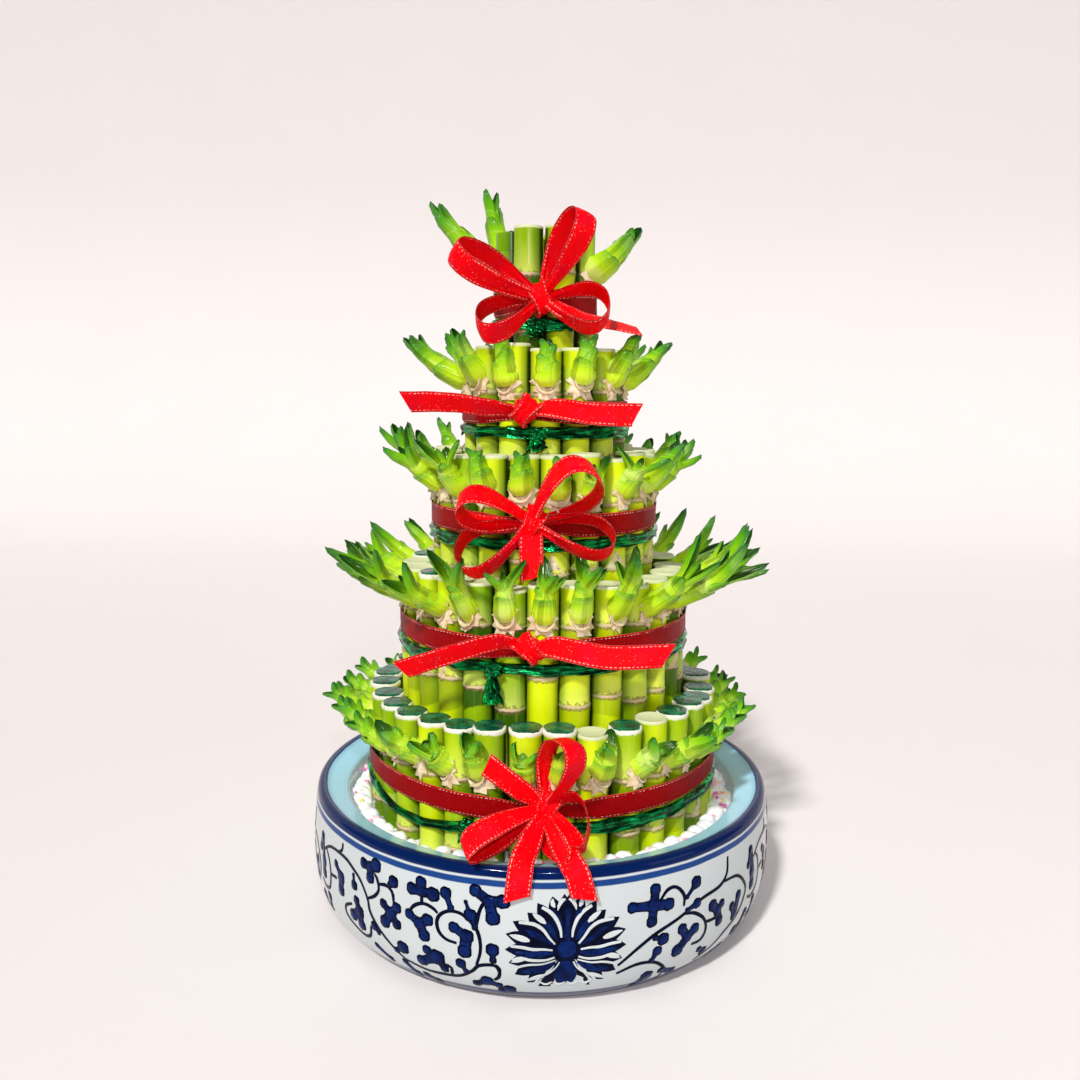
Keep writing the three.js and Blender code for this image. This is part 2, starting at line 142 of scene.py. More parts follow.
class Bench:
    """Edit-mode steps shared by the pieces."""

    @staticmethod
    def clear() -> None:
        """Leaves edit mode and deselects everything."""
        if bpy.context.object and bpy.context.object.mode != "OBJECT":
            bpy.ops.object.mode_set(mode="OBJECT")
        bpy.ops.object.select_all(action="DESELECT")

    @staticmethod
    def take(piece: Piece) -> None:
        """Selects one piece alone and makes it the active one."""
        Bench.clear()
        piece.select_set(True)
        bpy.context.view_layer.objects.active = piece

    @staticmethod
    def join(parts: Sequence[Piece], name: str) -> Piece:
        """Joins parts into one piece.

        Args:
            parts: the objects, each with its own mesh.
            name: the name of the piece.

        Returns:
            The joined piece.
        """
        Bench.clear()
        for part in parts:
            part.select_set(True)
        bpy.context.view_layer.objects.active = parts[0]
        if len(parts) > 1:
            bpy.ops.object.join()
        parts[0].name = name
        return parts[0]

    @staticmethod
    def place(name: str, mesh: bpy.types.Mesh, material: Material) -> Piece:
        """Sets a mesh in the scene as a piece with its finish."""
        mesh.materials.append(material)
        piece = bpy.data.objects.new(name, mesh)
        bpy.context.scene.collection.objects.link(piece)
        return piece

    @staticmethod
    def note(mesh: bpy.types.Mesh, mark: str, values: Sequence[float]) -> None:
        """Stores a number for each vertex, which the finish reads by the mark's name."""
        layer = mesh.attributes.new(mark, "FLOAT", "POINT")
        layer.data.foreach_set("value", values)

    @staticmethod
    def ball(
        move: Callable[[Vector], Vector],
        marks: dict[str, Callable[[Vector], float]],
        material: Material,
    ) -> Piece:
        """A lump shaped from a ball.

        Args:
            move: where each point of a ball of radius 1 goes.
            marks: numbers by the moved point that the finish reads, by name.
            material: the lump's finish.

        Returns:
            The lump.
        """
        Bench.clear()
        bpy.ops.mesh.primitive_ico_sphere_add(subdivisions=4, radius=1)
        lump = bpy.context.object
        vertices = lump.data.vertices
        for vertex in vertices:
            vertex.co = move(vertex.co.copy())
        for mark, read in marks.items():
            Bench.note(lump.data, mark, [read(vertex.co) for vertex in vertices])
        lump.data.materials.append(material)
        return lump

    @staticmethod
    def finish(piece: Piece, slot: str, nodes: Sequence[str], angle: float = 50) -> None:
        """Brings a piece to metres, turns its faces out and sets it in the frame.

        Args:
            piece: the piece, modelled in millimetres.
            slot: the name of a material slot; not used.
            nodes: the CAD nodes it stands for.
            angle: edges sharper than this many degrees stay sharp.
        """
        piece.data.transform(Matrix.Scale(MM, 4))
        Bench.take(piece)
        bpy.ops.object.mode_set(mode="EDIT")
        bpy.ops.mesh.select_all(action="SELECT")
        bpy.ops.mesh.normals_make_consistent(inside=False)
        bpy.ops.object.mode_set(mode="OBJECT")
        bpy.ops.object.shade_smooth_by_angle(angle=math.radians(angle))
        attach(piece, "root")
        if nodes:
            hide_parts(*nodes)
        log.info("%s: %d faces", piece.name, len(piece.data.polygons))


class Stack:
    """Blanks drawn up from a disc, ring by ring, that lofted parts are shaped from."""

    blanks: dict[tuple[int, int], tuple[bpy.types.Mesh, list[tuple[int, int]]]] = {}

    @classmethod
    def blank(cls, sides: int, rings: int) -> tuple[bpy.types.Mesh, list[tuple[int, int]]]:
        """The blank with so many sides and rings.

        Args:
            sides: points in a ring.
            rings: rings from end to end.

        Returns:
            Its mesh, and for each vertex its ring and its place in the ring.
        """
        key = (sides, rings)
        if key not in cls.blanks:
            Bench.clear()
            bpy.ops.mesh.primitive_circle_add(vertices=sides, radius=1, fill_type="NGON")
            disc = bpy.context.object
            bpy.ops.object.mode_set(mode="EDIT")
            bpy.ops.mesh.select_all(action="SELECT")
            for _ in range(rings - 1):
                bpy.ops.mesh.extrude_region_move(TRANSFORM_OT_translate={"value": (0, 0, 1)})
            bpy.ops.object.mode_set(mode="OBJECT")
            mesh = disc.data
            bpy.data.objects.remove(disc)
            spots = []
            for vertex in mesh.vertices:
                turn = math.atan2(vertex.co.y, vertex.co.x) / TURN * sides
                spots.append((round(vertex.co.z), round(turn) % sides))
            cls.blanks[key] = (mesh, spots)
        return cls.blanks[key]

    @classmethod
    def shape(
        cls,
        name: str,
        rings: Sequence[Row],
        material: Material,
        marks: dict[str, Callable[[int, int], float]] | None = None,
    ) -> Piece:
        """A part shaped from its own copy of a blank.

        Args:
            name: the part's name.
            rings: the points of each ring, in millimetres.
            material: the part's finish.
            marks: numbers by ring and place that the finish reads, by name.

        Returns:
            The part.
        """
        blank, spots = cls.blank(len(rings[0]), len(rings))
        mesh = blank.copy()
        mesh.vertices.foreach_set("co", [c for ring, k in spots for c in rings[ring][k]])
        for mark, read in (marks or {}).items():
            Bench.note(mesh, mark, [read(ring, k) for ring, k in spots])
        return Bench.place(name, mesh, material)


# Finishes


class Term:
    """A number that varies over a surface; arithmetic on it adds Math nodes."""

    def __init__(self, palette: "Palette", socket: Socket) -> None:
        """Wraps a socket of a palette's material."""
        self.palette = palette
        self.socket = socket

    def math(self, operation: str, *others: Number) -> "Term":
        """The result of a Math node on this number and others."""
        values = {i: other for i, other in enumerate((self, *others))}
        return self.palette.term("ShaderNodeMath", {"operation": operation}, values)

    def __add__(self, other: Number) -> "Term":
        """The sum, whichever side the term stands on."""
        return self.math("ADD", other)

    __radd__ = __add__

    def __sub__(self, other: Number) -> "Term":
        """self - other."""
        return self.math("SUBTRACT", other)

    def __rsub__(self, other: float) -> "Term":
        """other - self."""
        return self.palette.term("ShaderNodeMath", {"operation": "SUBTRACT"}, {0: other, 1: self})

    def __mul__(self, other: Number) -> "Term":
        """The product, whichever side the term stands on."""
        return self.math("MULTIPLY", other)

    __rmul__ = __mul__

    def step(self, low: float, high: float) -> "Term":
        """0 below low, 1 above high and smooth between; the other way round if low is above high."""
        settings = {"interpolation_type": "SMOOTHSTEP"}
        if low > high:
            return 1 - self.step(high, low)
        return self.palette.term("ShaderNodeMapRange", settings, {0: self, 1: low, 2: high})

    def band(self, low: float, high: float, soft: float) -> "Term":
        """1 between low and high and 0 outside, with soft edges."""
        return self.step(low - soft, low + soft) * self.step(high + soft, high - soft)


class Palette:
    """Builds the nodes of one material."""

    def __init__(self, name: str) -> None:
        """Starts a material with its shader."""
        self.material = bpy.data.materials.new(name)
        self.material.use_nodes = True
        self.tree = self.material.node_tree
        self.shader = self.tree.nodes["Principled BSDF"]

    def node(
        self, kind: str, settings: dict | None = None, inputs: dict | None = None
    ) -> bpy.types.Node:
        """Adds a node.

        Args:
            kind: the node's type.
            settings: its properties, or "stops" for a ramp's (place, colour) pairs.
            inputs: values or links by socket name or number.

        Returns:
            The node.
        """
        made = self.tree.nodes.new(kind)
        for name, value in (settings or {}).items():
            if name == "stops":
                while len(made.color_ramp.elements) < len(value):
                    made.color_ramp.elements.new(1.0)
                for element, (place, colour) in zip(made.color_ramp.elements, value):
                    element.position = place
                    element.color = (*colour, 1)
            else:
                setattr(made, name, value)
        for name, value in (inputs or {}).items():
            self.feed(made.inputs[name], value)
        return made

    def feed(self, socket: Socket, value: object) -> None:
        """Links a term or socket to a socket, or sets a plain value on it."""
        if isinstance(value, Term):
            self.tree.links.new(value.socket, socket)
        elif isinstance(value, Socket):
            self.tree.links.new(value, socket)
        elif socket.type == "RGBA":
            socket.default_value = (*value, 1)
        else:
            socket.default_value = value

    def term(self, kind: str, settings: dict, inputs: dict, output: int | str = 0) -> Term:
        """A number from one output of a new node."""
        return Term(self, self.node(kind, settings, inputs).outputs[output])

    def place(self, stretch: Triple = (1, 1, 1)) -> Socket:
        """Object coordinates in metres, stretched."""
        spot = self.node("ShaderNodeTexCoord").outputs["Object"]
        return self.node("ShaderNodeMapping", {}, {"Vector": spot, "Scale": stretch}).outputs[0]

    def axes(self) -> tuple[Term, Term, Term]:
        """Object coordinates in millimetres, one by one."""
        spot = self.node("ShaderNodeTexCoord").outputs["Object"]
        parts = self.node("ShaderNodeSeparateXYZ", {}, {0: spot}).outputs
        return tuple(Term(self, part) * 1000 for part in parts)

    def mark(self, name: str) -> Term:
        """A number stored on the mesh."""
        return self.term("ShaderNodeAttribute", {"attribute_name": name}, {}, "Fac")

    def grain(self, scale: float, detail: float = 2, stretch: Triple = (1, 1, 1)) -> Term:
        """Soft noise from 0 to 1; scale is in waves per metre."""
        inputs = {"Vector": self.place(stretch), "Scale": scale, "Detail": detail}
        return self.term("ShaderNodeTexNoise", {}, inputs, 0)

    def cells(self, scale: float, feature: str = "F1", output: str = "Distance") -> Term:
        """Voronoi cells; scale is in cells per metre."""
        inputs = {"Vector": self.place(), "Scale": scale}
        return self.term("ShaderNodeTexVoronoi", {"feature": feature}, inputs, output)

    def blend(self, share: Term, under: object, over: object) -> Socket:
        """The under colour with the over colour laid on it by a share."""
        inputs = {0: share, 6: under, 7: over}
        return self.node("ShaderNodeMix", {"data_type": "RGBA"}, inputs).outputs[2]

    def coats(self, base: object, *coats: tuple[Term, object]) -> Socket:
        """A base colour with further colours laid on it in turn, each by its share."""
        for share, colour in coats:
            base = self.blend(share, base, colour)
        return base

    def ramp(self, at: Term, *stops: tuple[float, Colour]) -> Socket:
        """A colour read off a ramp."""
        return self.node("ShaderNodeValToRGB", {"stops": stops}, {0: at}).outputs[0]

    def bumped(self, height: Term, distance: float, strength: float = 1.0) -> Socket:
        """The normal over a relief so many millimetres high."""
        inputs = {"Height": height, "Distance": distance * MM, "Strength": strength}
        return self.node("ShaderNodeBump", {}, inputs).outputs[0]

    def dress(self, **sockets: object) -> Material:
        """Feeds the shader's sockets, named with underscores for spaces.

        Returns:
            The finished material.
        """
        for name, value in sockets.items():
            self.feed(self.shader.inputs[name.replace("_", " ")], value)
        return self.material


@dataclass(frozen=True)
class Porcelain:
    """White glaze with the blue lines round the lip, pale blue inside, and a bare foot."""

    white: Colour = (0.59, 0.625, 0.63)
    shade: Colour = (0.50, 0.555, 0.575)
    inside: Colour = (0.41, 0.77, 0.97)
    inside_edge: Colour = (0.10, 0.40, 0.72)
    navy: Colour = (0.0005, 0.011, 0.078)
    blue: Colour = (0.001, 0.026, 0.15)
    wash: Colour = (0.004, 0.060, 0.25)
    glint: Colour = (0.2, 0.4, 0.7)
    clay: Colour = (0.16, 0.09, 0.07)
    grit: Colour = (0.3, 0.19, 0.15)

    def material(self) -> Material:
        """The finish of the bowl."""
        p = Palette("porcelain_glaze")
        x, y, z = p.axes()
        reach = (x * x + y * y).math("SQRT")
        wobble = (p.grain(45) - 0.5) * 0.9
        height = z + wobble
        across = reach + wobble
        outside = across.step(98.6, 99.0)
        within = across.step(87.0, 88.4) * across.step(100.2, 99.6) * height.step(40, 52)
        lip_line = across.step(97.0, 97.5) * height.step(53.9, 54.4)
        # painted highlight: a thin paler blue ring along the crest of the navy lip
        glint = across.band(98.3, 98.6, 0.15) * height.step(55, 56)
        rim_line = outside * height.band(50.9, 53.3, 0.25)
        # the navy line round the foot, drawn wide enough to take in painted shadow where the bowl meets
        # the floor
        foot_line_and_shadow = outside.math("MAXIMUM", across.step(80, 84)) * height.band(1.4, 6.4, 0.4)
        bare = z.step(1.7, 1.3)
        base = p.coats(
            p.blend(p.grain(30, 3), self.white, self.shade),
            (within, p.blend(across.step(94.5, 99.5), self.inside, self.inside_edge)),
            (lip_line, self.navy),
            (glint * 0.35, self.glint),
            (rim_line, p.blend(p.grain(120), self.blue, self.wash)),
            (foot_line_and_shadow, self.navy),
            (bare, p.blend(p.grain(900), self.clay, self.grit)),
        )
        pits = p.cells(260).step(0.12, 0.0) * 0.4 + p.grain(70)
        return p.dress(
            Base_Color=base,
            Roughness=bare * 0.5 + 0.1,
            Normal=p.bumped(pits, 0.12, 0.35),
            Specular_IOR_Level=0.17,
            Coat_Weight=(1 - bare) * 0.05,
            Coat_Roughness=0.04,
        )


@dataclass(frozen=True)
class Brushed:
    """Pigment laid on by brush, pooled darker in places, under the glaze."""

    name: str
    thin: Colour
    pooled: Colour

    def material(self) -> Material:
        """The finish of the painted strokes."""
        p = Palette(self.name)
        wash = (p.grain(170, 4) + p.grain(620, 2) * 0.35).step(0.42, 0.86)
        return p.dress(
            Base_Color=p.blend(wash, self.pooled, self.thin),
            Roughness=p.grain(300) * 0.12 + 0.12,
            Normal=p.bumped(p.grain(420), 0.05, 0.3),
            Specular_IOR_Level=0.05,
        )


INK = Brushed("ink_line", (0.0008, 0.0035, 0.024), (0.0004, 0.001, 0.007))
COBALT = Brushed("cobalt_wash", (0.002, 0.017, 0.115), (0.0006, 0.004, 0.036))
BARE = Brushed("bare_glaze", (0.60, 0.64, 0.64), (0.53, 0.58, 0.60))


@dataclass(frozen=True)
class CaneSkin:
    """Green skin of a cut cane: paler above a leaf scar, dark below it, streaked along, with painted
    shade on the sides that face the gaps between canes.
    """

    lime: Colour = (0.72, 0.85, 0.003)
    green: Colour = (0.17, 0.37, 0.003)
    pale: Colour = (0.72, 0.80, 0.16)
    deep: Colour = (0.024, 0.095, 0.002)
    painted_side_shade: Colour = (0.060, 0.180, 0.002)
    painted_gap_shadow: Colour = (0.003, 0.016, 0.001)
    scar: Colour = (0.66, 0.50, 0.32)
    crust: Colour = (0.22, 0.12, 0.06)
    cut: Colour = (0.66, 0.70, 0.42)
    fibre: Colour = (0.42, 0.33, 0.16)
    crest: Colour = (0.84, 0.80, 0.70)

    def material(self) -> Material:
        """The finish of the canes."""
        p = Palette("cane_skin")
        streaks = p.grain(420, 3, (1, 1, 0.06))
        patches = p.grain(70, 2, (1, 1, 0.5))
        tone = (p.mark("tone") * 0.75 + patches * 0.5).step(0.34, 1.08)
        under = (p.mark("under") + (streaks - 0.5) * 0.12).step(0.46, 0.56)
        freckles = p.cells(620).step(0.16, 0.05) * p.grain(90).step(0.52, 0.62)
        ragged = p.mark("scar") + (p.grain(700, 3) - 0.5) * 0.7
        crumbs = (p.grain(520, 3) - 0.5) * p.mark("crusted") * 1.3
        cut = p.mark("cut") + crumbs * p.mark("cut").band(0.05, 0.97, 0.04)
        beside = p.mark("beside")
        fibres = p.cells(900).step(0.3, 0.1) * cut.step(0.8, 1.0)
        base = p.coats(
            self.lime,
            (tone, self.green),
            (p.mark("above").step(0.05, 1.0) * 0.6, self.pale),
            (under * p.mark("dark"), self.deep),
            (streaks.step(0.52, 0.75) * 0.22, self.pale),
            (freckles * 0.5, self.crust),
            (ragged.step(0.38, 0.62), self.scar),
            (ragged.band(0.3, 0.46, 0.08) * 0.75, self.crust),
            (cut.step(0.3, 0.7), self.cut),
            (cut.step(0.3, 0.7) * p.mark("crusted"), self.crest),
            # painted shade: the sides of each cane darkened towards the gaps between canes, nearly
            # black at the far sides
            (beside.step(0.10, 0.66) * 0.58, self.painted_side_shade),
            (beside.step(0.62, 0.98) * 0.85, self.painted_gap_shadow),
            (fibres * 0.45, self.fibre),
        )
        relief = streaks * 0.4 + ragged.step(0.3, 0.7) * p.grain(1500) + fibres * 0.5
        return p.dress(
            Base_Color=base,
            Roughness=cut.math("MAXIMUM", p.mark("scar")) * 0.4 + streaks * 0.12 + 0.2,
            Normal=p.bumped(relief, 0.25, 0.6),
            Specular_IOR_Level=0.16,
            Coat_Weight=0.02,
            Coat_Roughness=0.12,
        )


@dataclass(frozen=True)
class SheathSkin:
    """Leaf sheaths of the shoots, yellow-green at the root and blue-green at the tips."""

    name: str = "sheath_skin"
    root: Colour = (0.64, 0.82, 0.03)
    middle: Colour = (0.47, 0.74, 0.008)
    body: Colour = (0.28, 0.62, 0.004)
    blade: Colour = (0.12, 0.43, 0.004)
    tip: Colour = (0.010, 0.15, 0.024)
    painted_highlight_patch: Colour = (0.72, 0.84, 0.34)
    rib: Colour = (0.52, 0.70, 0.10)
    rim: Colour = (0.72, 0.80, 0.20)
    painted_hollow_shadow: Colour = (0.004, 0.035, 0.001)
    withered: Colour = (0.55, 0.42, 0.2)

    def material(self) -> Material:
        """The finish of the shoots."""
        p = Palette(self.name)
        ribs = (p.mark("girth") * TURN * 15).math("SINE") * 0.5 + 0.5
        mottle = p.grain(130, 3)
        along = p.mark("along") + (mottle - 0.5) * 0.35
        greens = (self.root, self.middle, self.body, self.blade, self.tip)
        own = p.mark("own") + (mottle - 0.5) * 0.3
        dry = p.mark("lip").step(0.9, 1.0) * p.grain(400).step(0.5, 0.6)
        base = p.coats(
            p.ramp(along, *zip((0.0, 0.22, 0.5, 0.8, 1.0), greens)),
            (p.mark("lip").step(0.55, 0.95) * 0.75, self.tip),
            # each sheath paler at its own base and darker towards its top: partly the leaf's own
            # colour, partly painted shade where one sheath opens round the next
            (own.step(0.62, 0.3) * 0.45, self.root),
            (own.step(0.6, 1.0) * 0.6, self.tip),
            ((ribs * mottle).step(0.3, 0.7) * 0.14, self.rib),
            # painted highlight: pale patches stand for light on the sheaths, more of them low on each
            # sheath
            (p.grain(85, 1).step(0.56, 0.74) * (1.1 - own) * 0.5, self.painted_highlight_patch),
            (p.mark("rim").step(0.6, 1.0) * 0.2, self.rim),
            # painted shadow: the inner side of an opened blade darkened almost to black
            (p.mark("inner") * 0.85, self.painted_hollow_shadow),
            (dry * 0.6, self.withered),
        )
        return p.dress(
            Base_Color=base,
            Roughness=mottle * 0.12 + 0.12,
            Normal=p.bumped(ribs * 0.5 + mottle * 1.4, 0.35, 0.8),
            Specular_IOR_Level=0.18,
            Coat_Weight=0.03,
            Coat_Roughness=0.1,
        )


YOUNG_SKIN = SheathSkin(
    "young_sheath_skin",
    root=(0.60, 0.76, 0.06),
    middle=(0.44, 0.68, 0.015),
    body=(0.28, 0.58, 0.008),
    blade=(0.15, 0.46, 0.008),
    tip=(0.025, 0.22, 0.02),
)


@dataclass(frozen=True)
class HuskPaper:
    """Dry papery leaf base round the root of a shoot."""

    fresh: Colour = (0.76, 0.58, 0.34)
    dry: Colour = (0.30, 0.16, 0.06)
    light: Colour = (0.88, 0.78, 0.58)

    def material(self) -> Material:
        """The finish of the husks."""
        p = Palette("husk_paper")
        crumple = p.grain(480, 4)
        base = p.ramp(crumple, (0.25, self.dry), (0.42, self.fresh), (0.7, self.light))
        base = p.blend(p.mark("lip").step(0.5, 1.0) * 0.45, base, self.dry)
        return p.dress(Base_Color=base, Roughness=0.65, Normal=p.bumped(crumple, 0.6, 0.8))


@dataclass(frozen=True)
class Satin:
    """Red satin with glittering flecks in its weave, their sparkle painted in, and pale stitches along
    both edges.
    """

    red: Colour = (0.93, 0.0008, 0.005)
    painted_sheen_rose: Colour = (0.70, 0.002, 0.022)
    painted_shade_wine: Colour = (0.235, 0.0002, 0.0008)
    thread: Colour = (0.98, 0.58, 0.46)
    glitter_and_sparkle: Colour = (1.0, 0.42, 0.38)
    picot: Colour = (0.95, 0.30, 0.28)

    def material(self) -> Material:
        """The finish of the ribbons; across runs from -1 to 1, along is in millimetres."""
        p = Palette("satin_ribbon")
        across, along = p.mark("across"), p.mark("along")
        band = p.mark("band")
        edge = across.math("ABSOLUTE")
        sheen = p.grain(90, 2)
        ragged = along + (p.grain(900) - 0.5) * 1.2
        dash = (ragged * (TURN / 1.7) + across.step(-0.1, 0.1) * 1.7).math("SINE").step(-0.35, 0.25)
        worn = p.grain(260, 3).step(0.36, 0.56)
        stitch = (edge + (p.grain(700) - 0.5) * 0.06).band(0.78, 0.85, 0.02) * dash * worn
        picot = edge.step(0.94, 0.97) * (ragged * (TURN / 0.9)).math("SINE").step(0.0, 0.5)
        # flecks in the weave painted pale pink so that their sparkle is a painted highlight; the band,
        # in shade, has fewer
        specks = p.cells(900).step(0.2, 0.08) * (p.grain(200, 3) + edge * 0.12).step(0.5, 0.64)
        specks = specks * (1 - band * 0.85)
        base = p.coats(
            self.red,
            # painted sheen: rose patches stand for the pinkish light the satin reflects at a slant
            (sheen.step(0.5, 0.7) * 0.55, self.painted_sheen_rose),
            # painted shade: the band is the same satin as the bow, painted a darker wine as if it faced
            # away from the light
            (band * 0.9, self.painted_shade_wine),
            (edge.step(0.9, 0.95) * 0.7, p.blend(band, self.painted_shade_wine, self.red)),
            (specks * 0.8, self.glitter_and_sparkle),
            (stitch * 0.9, self.thread),
            (picot * 0.6, self.picot),
        )
        weave = (along * (TURN / 0.5)).math("SINE") * 0.25 + (across * (TURN * 9)).math("SINE") * 0.2
        puckers = (along * (TURN / 1.7)).math("SINE") * edge.step(0.55, 0.8)
        relief = weave + stitch * 1.6 + puckers * 0.5 + specks * 0.5 + sheen
        return p.dress(
            Base_Color=base,
            Roughness=0.40 - sheen * 0.14,
            Normal=p.bumped(relief, 0.22, 0.7),
            Specular_IOR_Level=0.045,
        )


@dataclass(frozen=True)
class GreenFoil:
    """Metallic green film, crushed into sharp creases."""

    dark: Colour = (0.0, 0.040, 0.012)
    bright: Colour = (0.004, 0.56, 0.14)

    def material(self) -> Material:
        """The finish of the foil ties."""
        p = Palette("green_foil")
        along, across = p.mark("along") * 0.03, p.mark("across") * 0.13
        lie = p.node("ShaderNodeCombineXYZ", {}, {0: along, 1: across}).outputs[0]
        inputs = {"Vector": lie, "Scale": 4.0, "Detail": 3}
        folds = p.term("ShaderNodeTexNoise", {}, inputs)
        creases = p.grain(160, 2)
        # painted highlights: bright emerald patches along the folds stand for the light the foil
        # reflects
        shine = (folds * 1.2 + creases * 0.3).step(0.66, 0.98)
        return p.dress(
            Base_Color=p.blend(shine, self.dark, self.bright),
            Metallic=0.9,
            Roughness=creases * 0.1 + 0.14,
            Normal=p.bumped(folds * 2, 1.0, 0.7),
        )


@dataclass(frozen=True)
class SealingWax:
    """Dark green wax that closes a cut top, swirled as it was dipped."""

    dark: Colour = (0.002, 0.055, 0.028)
    light: Colour = (0.012, 0.19, 0.085)

    def material(self) -> Material:
        """The finish of the wax caps."""
        p = Palette("sealing_wax")
        swirl = p.grain(210, 4)
        return p.dress(
            Base_Color=p.blend(swirl.step(0.35, 0.7), self.dark, self.light),
            Roughness=swirl * 0.12 + 0.1,
            Normal=p.bumped(swirl, 0.8, 0.8),
            Specular_IOR_Level=0.35,
        )


@dataclass(frozen=True)
class RiverStone:
    """Polished pebbles or painted chips; the hue mark picks a colour on the ramp."""

    name: str
    hues: tuple[tuple[float, Colour], ...]
    roughness: float = 0.22
    vein: Colour = (0.62, 0.64, 0.70)

    def material(self) -> Material:
        """The finish of the stones."""
        p = Palette(self.name)
        veins = p.grain(260, 4)
        base = p.ramp(p.mark("hue"), *self.hues)
        base = p.blend(veins.step(0.55, 0.8) * 0.25, base, self.vein)
        return p.dress(
            Base_Color=base,
            Roughness=veins * 0.2 + self.roughness,
            Normal=p.bumped(veins + p.grain(1100) * 0.3, 0.25, 0.5),
            Coat_Weight=0.3,
            Coat_Roughness=0.1,
            # painted light: the stones glow faintly in their own colour, brighter than the lamps alone
            # make them
            Emission_Color=base,
            Emission_Strength=0.12,
        )


@dataclass(frozen=True)
class PaleFloor:
    """Matt off-white paint of the floor and the wall behind."""

    colour: Colour = (0.80, 0.755, 0.75)
    lighter: Colour = (0.82, 0.775, 0.77)

    def material(self) -> Material:
        """The finish of the floor."""
        p = Palette("pale_floor")
        base = p.blend(p.grain(6, 2), self.colour, self.lighter)
        return p.dress(
            Base_Color=base,
            Roughness=0.8,
            Normal=p.bumped(p.grain(300), 0.1, 0.1),
            Specular_IOR_Level=0.1,
            Emission_Color=base,
            Emission_Strength=0.06,
        )


# Tiers of canes


@dataclass(frozen=True)
class Cane:
    """One cane: its bundle, its number in the tier, where it stands and its size."""

    bundle: int
    index: int
    angle: float
    radius: float
    top: float


@dataclass(frozen=True)
class Tier:
    """One ring of canes, with the sizes that its shoots grow to.

    The ring stands turned by turn degrees, each bundle with so many canes of radius cane. The
    shoots are as long as lengths on the left and on the right, give or take half of vary, and
    hide is the share that those behind the bow are shorter by. They have width as radius, start
    and end as steep as rise says, and lean round the ring. Those closer to the front than bare
    degrees don't grow, and the one on cane number upright stands up more than the rest.
    """

    rank: int
    bundles: int
    each: int
    turn: float
    ring: float
    cane: float
    top: float
    band_top: float
    lengths: Pair = (0, 0)
    vary: float = 0
    width: float = 0
    rise: Pair = (0, 1)
    lean: float = 0
    hide: float = 0
    opens: bool = False
    waxed: float = 0
    bare: float = 0
    upright: int = -1
    size_scatter: float = 0.04
    top_scatter: float = 3.0
    press: float = 0.4

    @property
    def name(self) -> str:
        """The tier's name, as in the CAD nodes."""
        return f"tier{self.rank + 1}"

    def canes(self) -> list[Cane]:
        """Every cane of the tier, placed as the CAD source places it."""
        found = []
        for bundle in range(self.bundles):
            first = bundle * self.each
            radii = [
                self.cane * (1 + self.size_scatter * scatter(self.rank, first + k, 1))
                for k in range(self.each)
            ]
            steps = [0.0] + [
                2 * math.asin((a + b - self.press) / 2 / self.ring) for a, b in zip(radii, radii[1:])
            ]
            angle = math.radians(self.turn) + TURN * bundle / self.bundles - sum(steps) / 2
            for k, radius in enumerate(radii):
                angle += steps[k]
                top = self.top + self.top_scatter * scatter(self.rank, first + k, 2)
                found.append(Cane(bundle, first + k, angle, radius, top))
        return found

    def outline(self, clearance: float) -> Row:
        """The line of something drawn tight round the tier, seen from above."""
        largest = self.cane * (1 + self.size_scatter / 2) + clearance
        canes = self.canes()
        half = math.pi / len(canes)
        few = {7: (-0.9, 0, 0.9), 14: (-0.6, 0.6)}
        turns = few.get(len(canes), (0,))
        return [
            around(cane.angle, self.ring, 0) + around(cane.angle + share * half, largest, 0)
            for cane in canes
            for share in turns
        ]

    def front_of(self, side: float, clearance: float) -> float:
        """How far to the front the outline reaches at a distance to the right."""
        points = self.outline(clearance)
        reach = 0.0
        for a, b in zip(points, points[1:] + points[:1]):
            if a.x != b.x and 0 <= (side - a.x) / (b.x - a.x) <= 1:
                reach = max(reach, -lerp(a.y, b.y, (side - a.x) / (b.x - a.x)))
        return reach


# Rings of a cane round a leaf scar: height from it, width, and shares of scar, dark and pale skin
SCAR_RINGS = (
    (-17, 0.985, 0, 0, 0),
    (-5, 0.985, 0, 1, 0),
    (-2.6, 1.0, 0.05, 1, 0),
    (-0.5, 1.03, 0.5, 1, 0),
    (0.1, 1.055, 1, 0.5, 0.2),
    (0.7, 1.005, 0.35, 0, 0.9),
    (4.5, 0.985, 0, 0, 0.7),
)

# Rings at a cane's top: height from it, width, and shares of pale skin and cut wood
SAWN_RINGS = (
    (-4.2, 0.985, 0.1, 0),
    (-1.5, 0.99, 0.2, 0),
    (-1.1, 1.0, 0, 0.75),
    (-0.35, 0.995, 0, 0.75),
)
DIPPED_RINGS = (
    (-4.2, 0.985, 0.1, 0),
    (-2.6, 0.99, 0.2, 0),
    (-1.3, 1.03, 0, 0.75),
    (-0.35, 1.02, 0, 0.75),
)
FACE_RINGS = ((0, 0.95, 0, 0.7), (-0.12, 0.84, 0, 0.9), (-0.5, 0.72, 0, 1), (-0.65, 0.15, 0, 1))

# The one cane that ends in a rounded dome, by rank and number, and its rings: depth and width
DOMED = (4, 5)
DOME = ((9, 1.0), (6.2, 0.95), (3.6, 0.82), (1.8, 0.62), (0.6, 0.36), (0.0, 0.10))

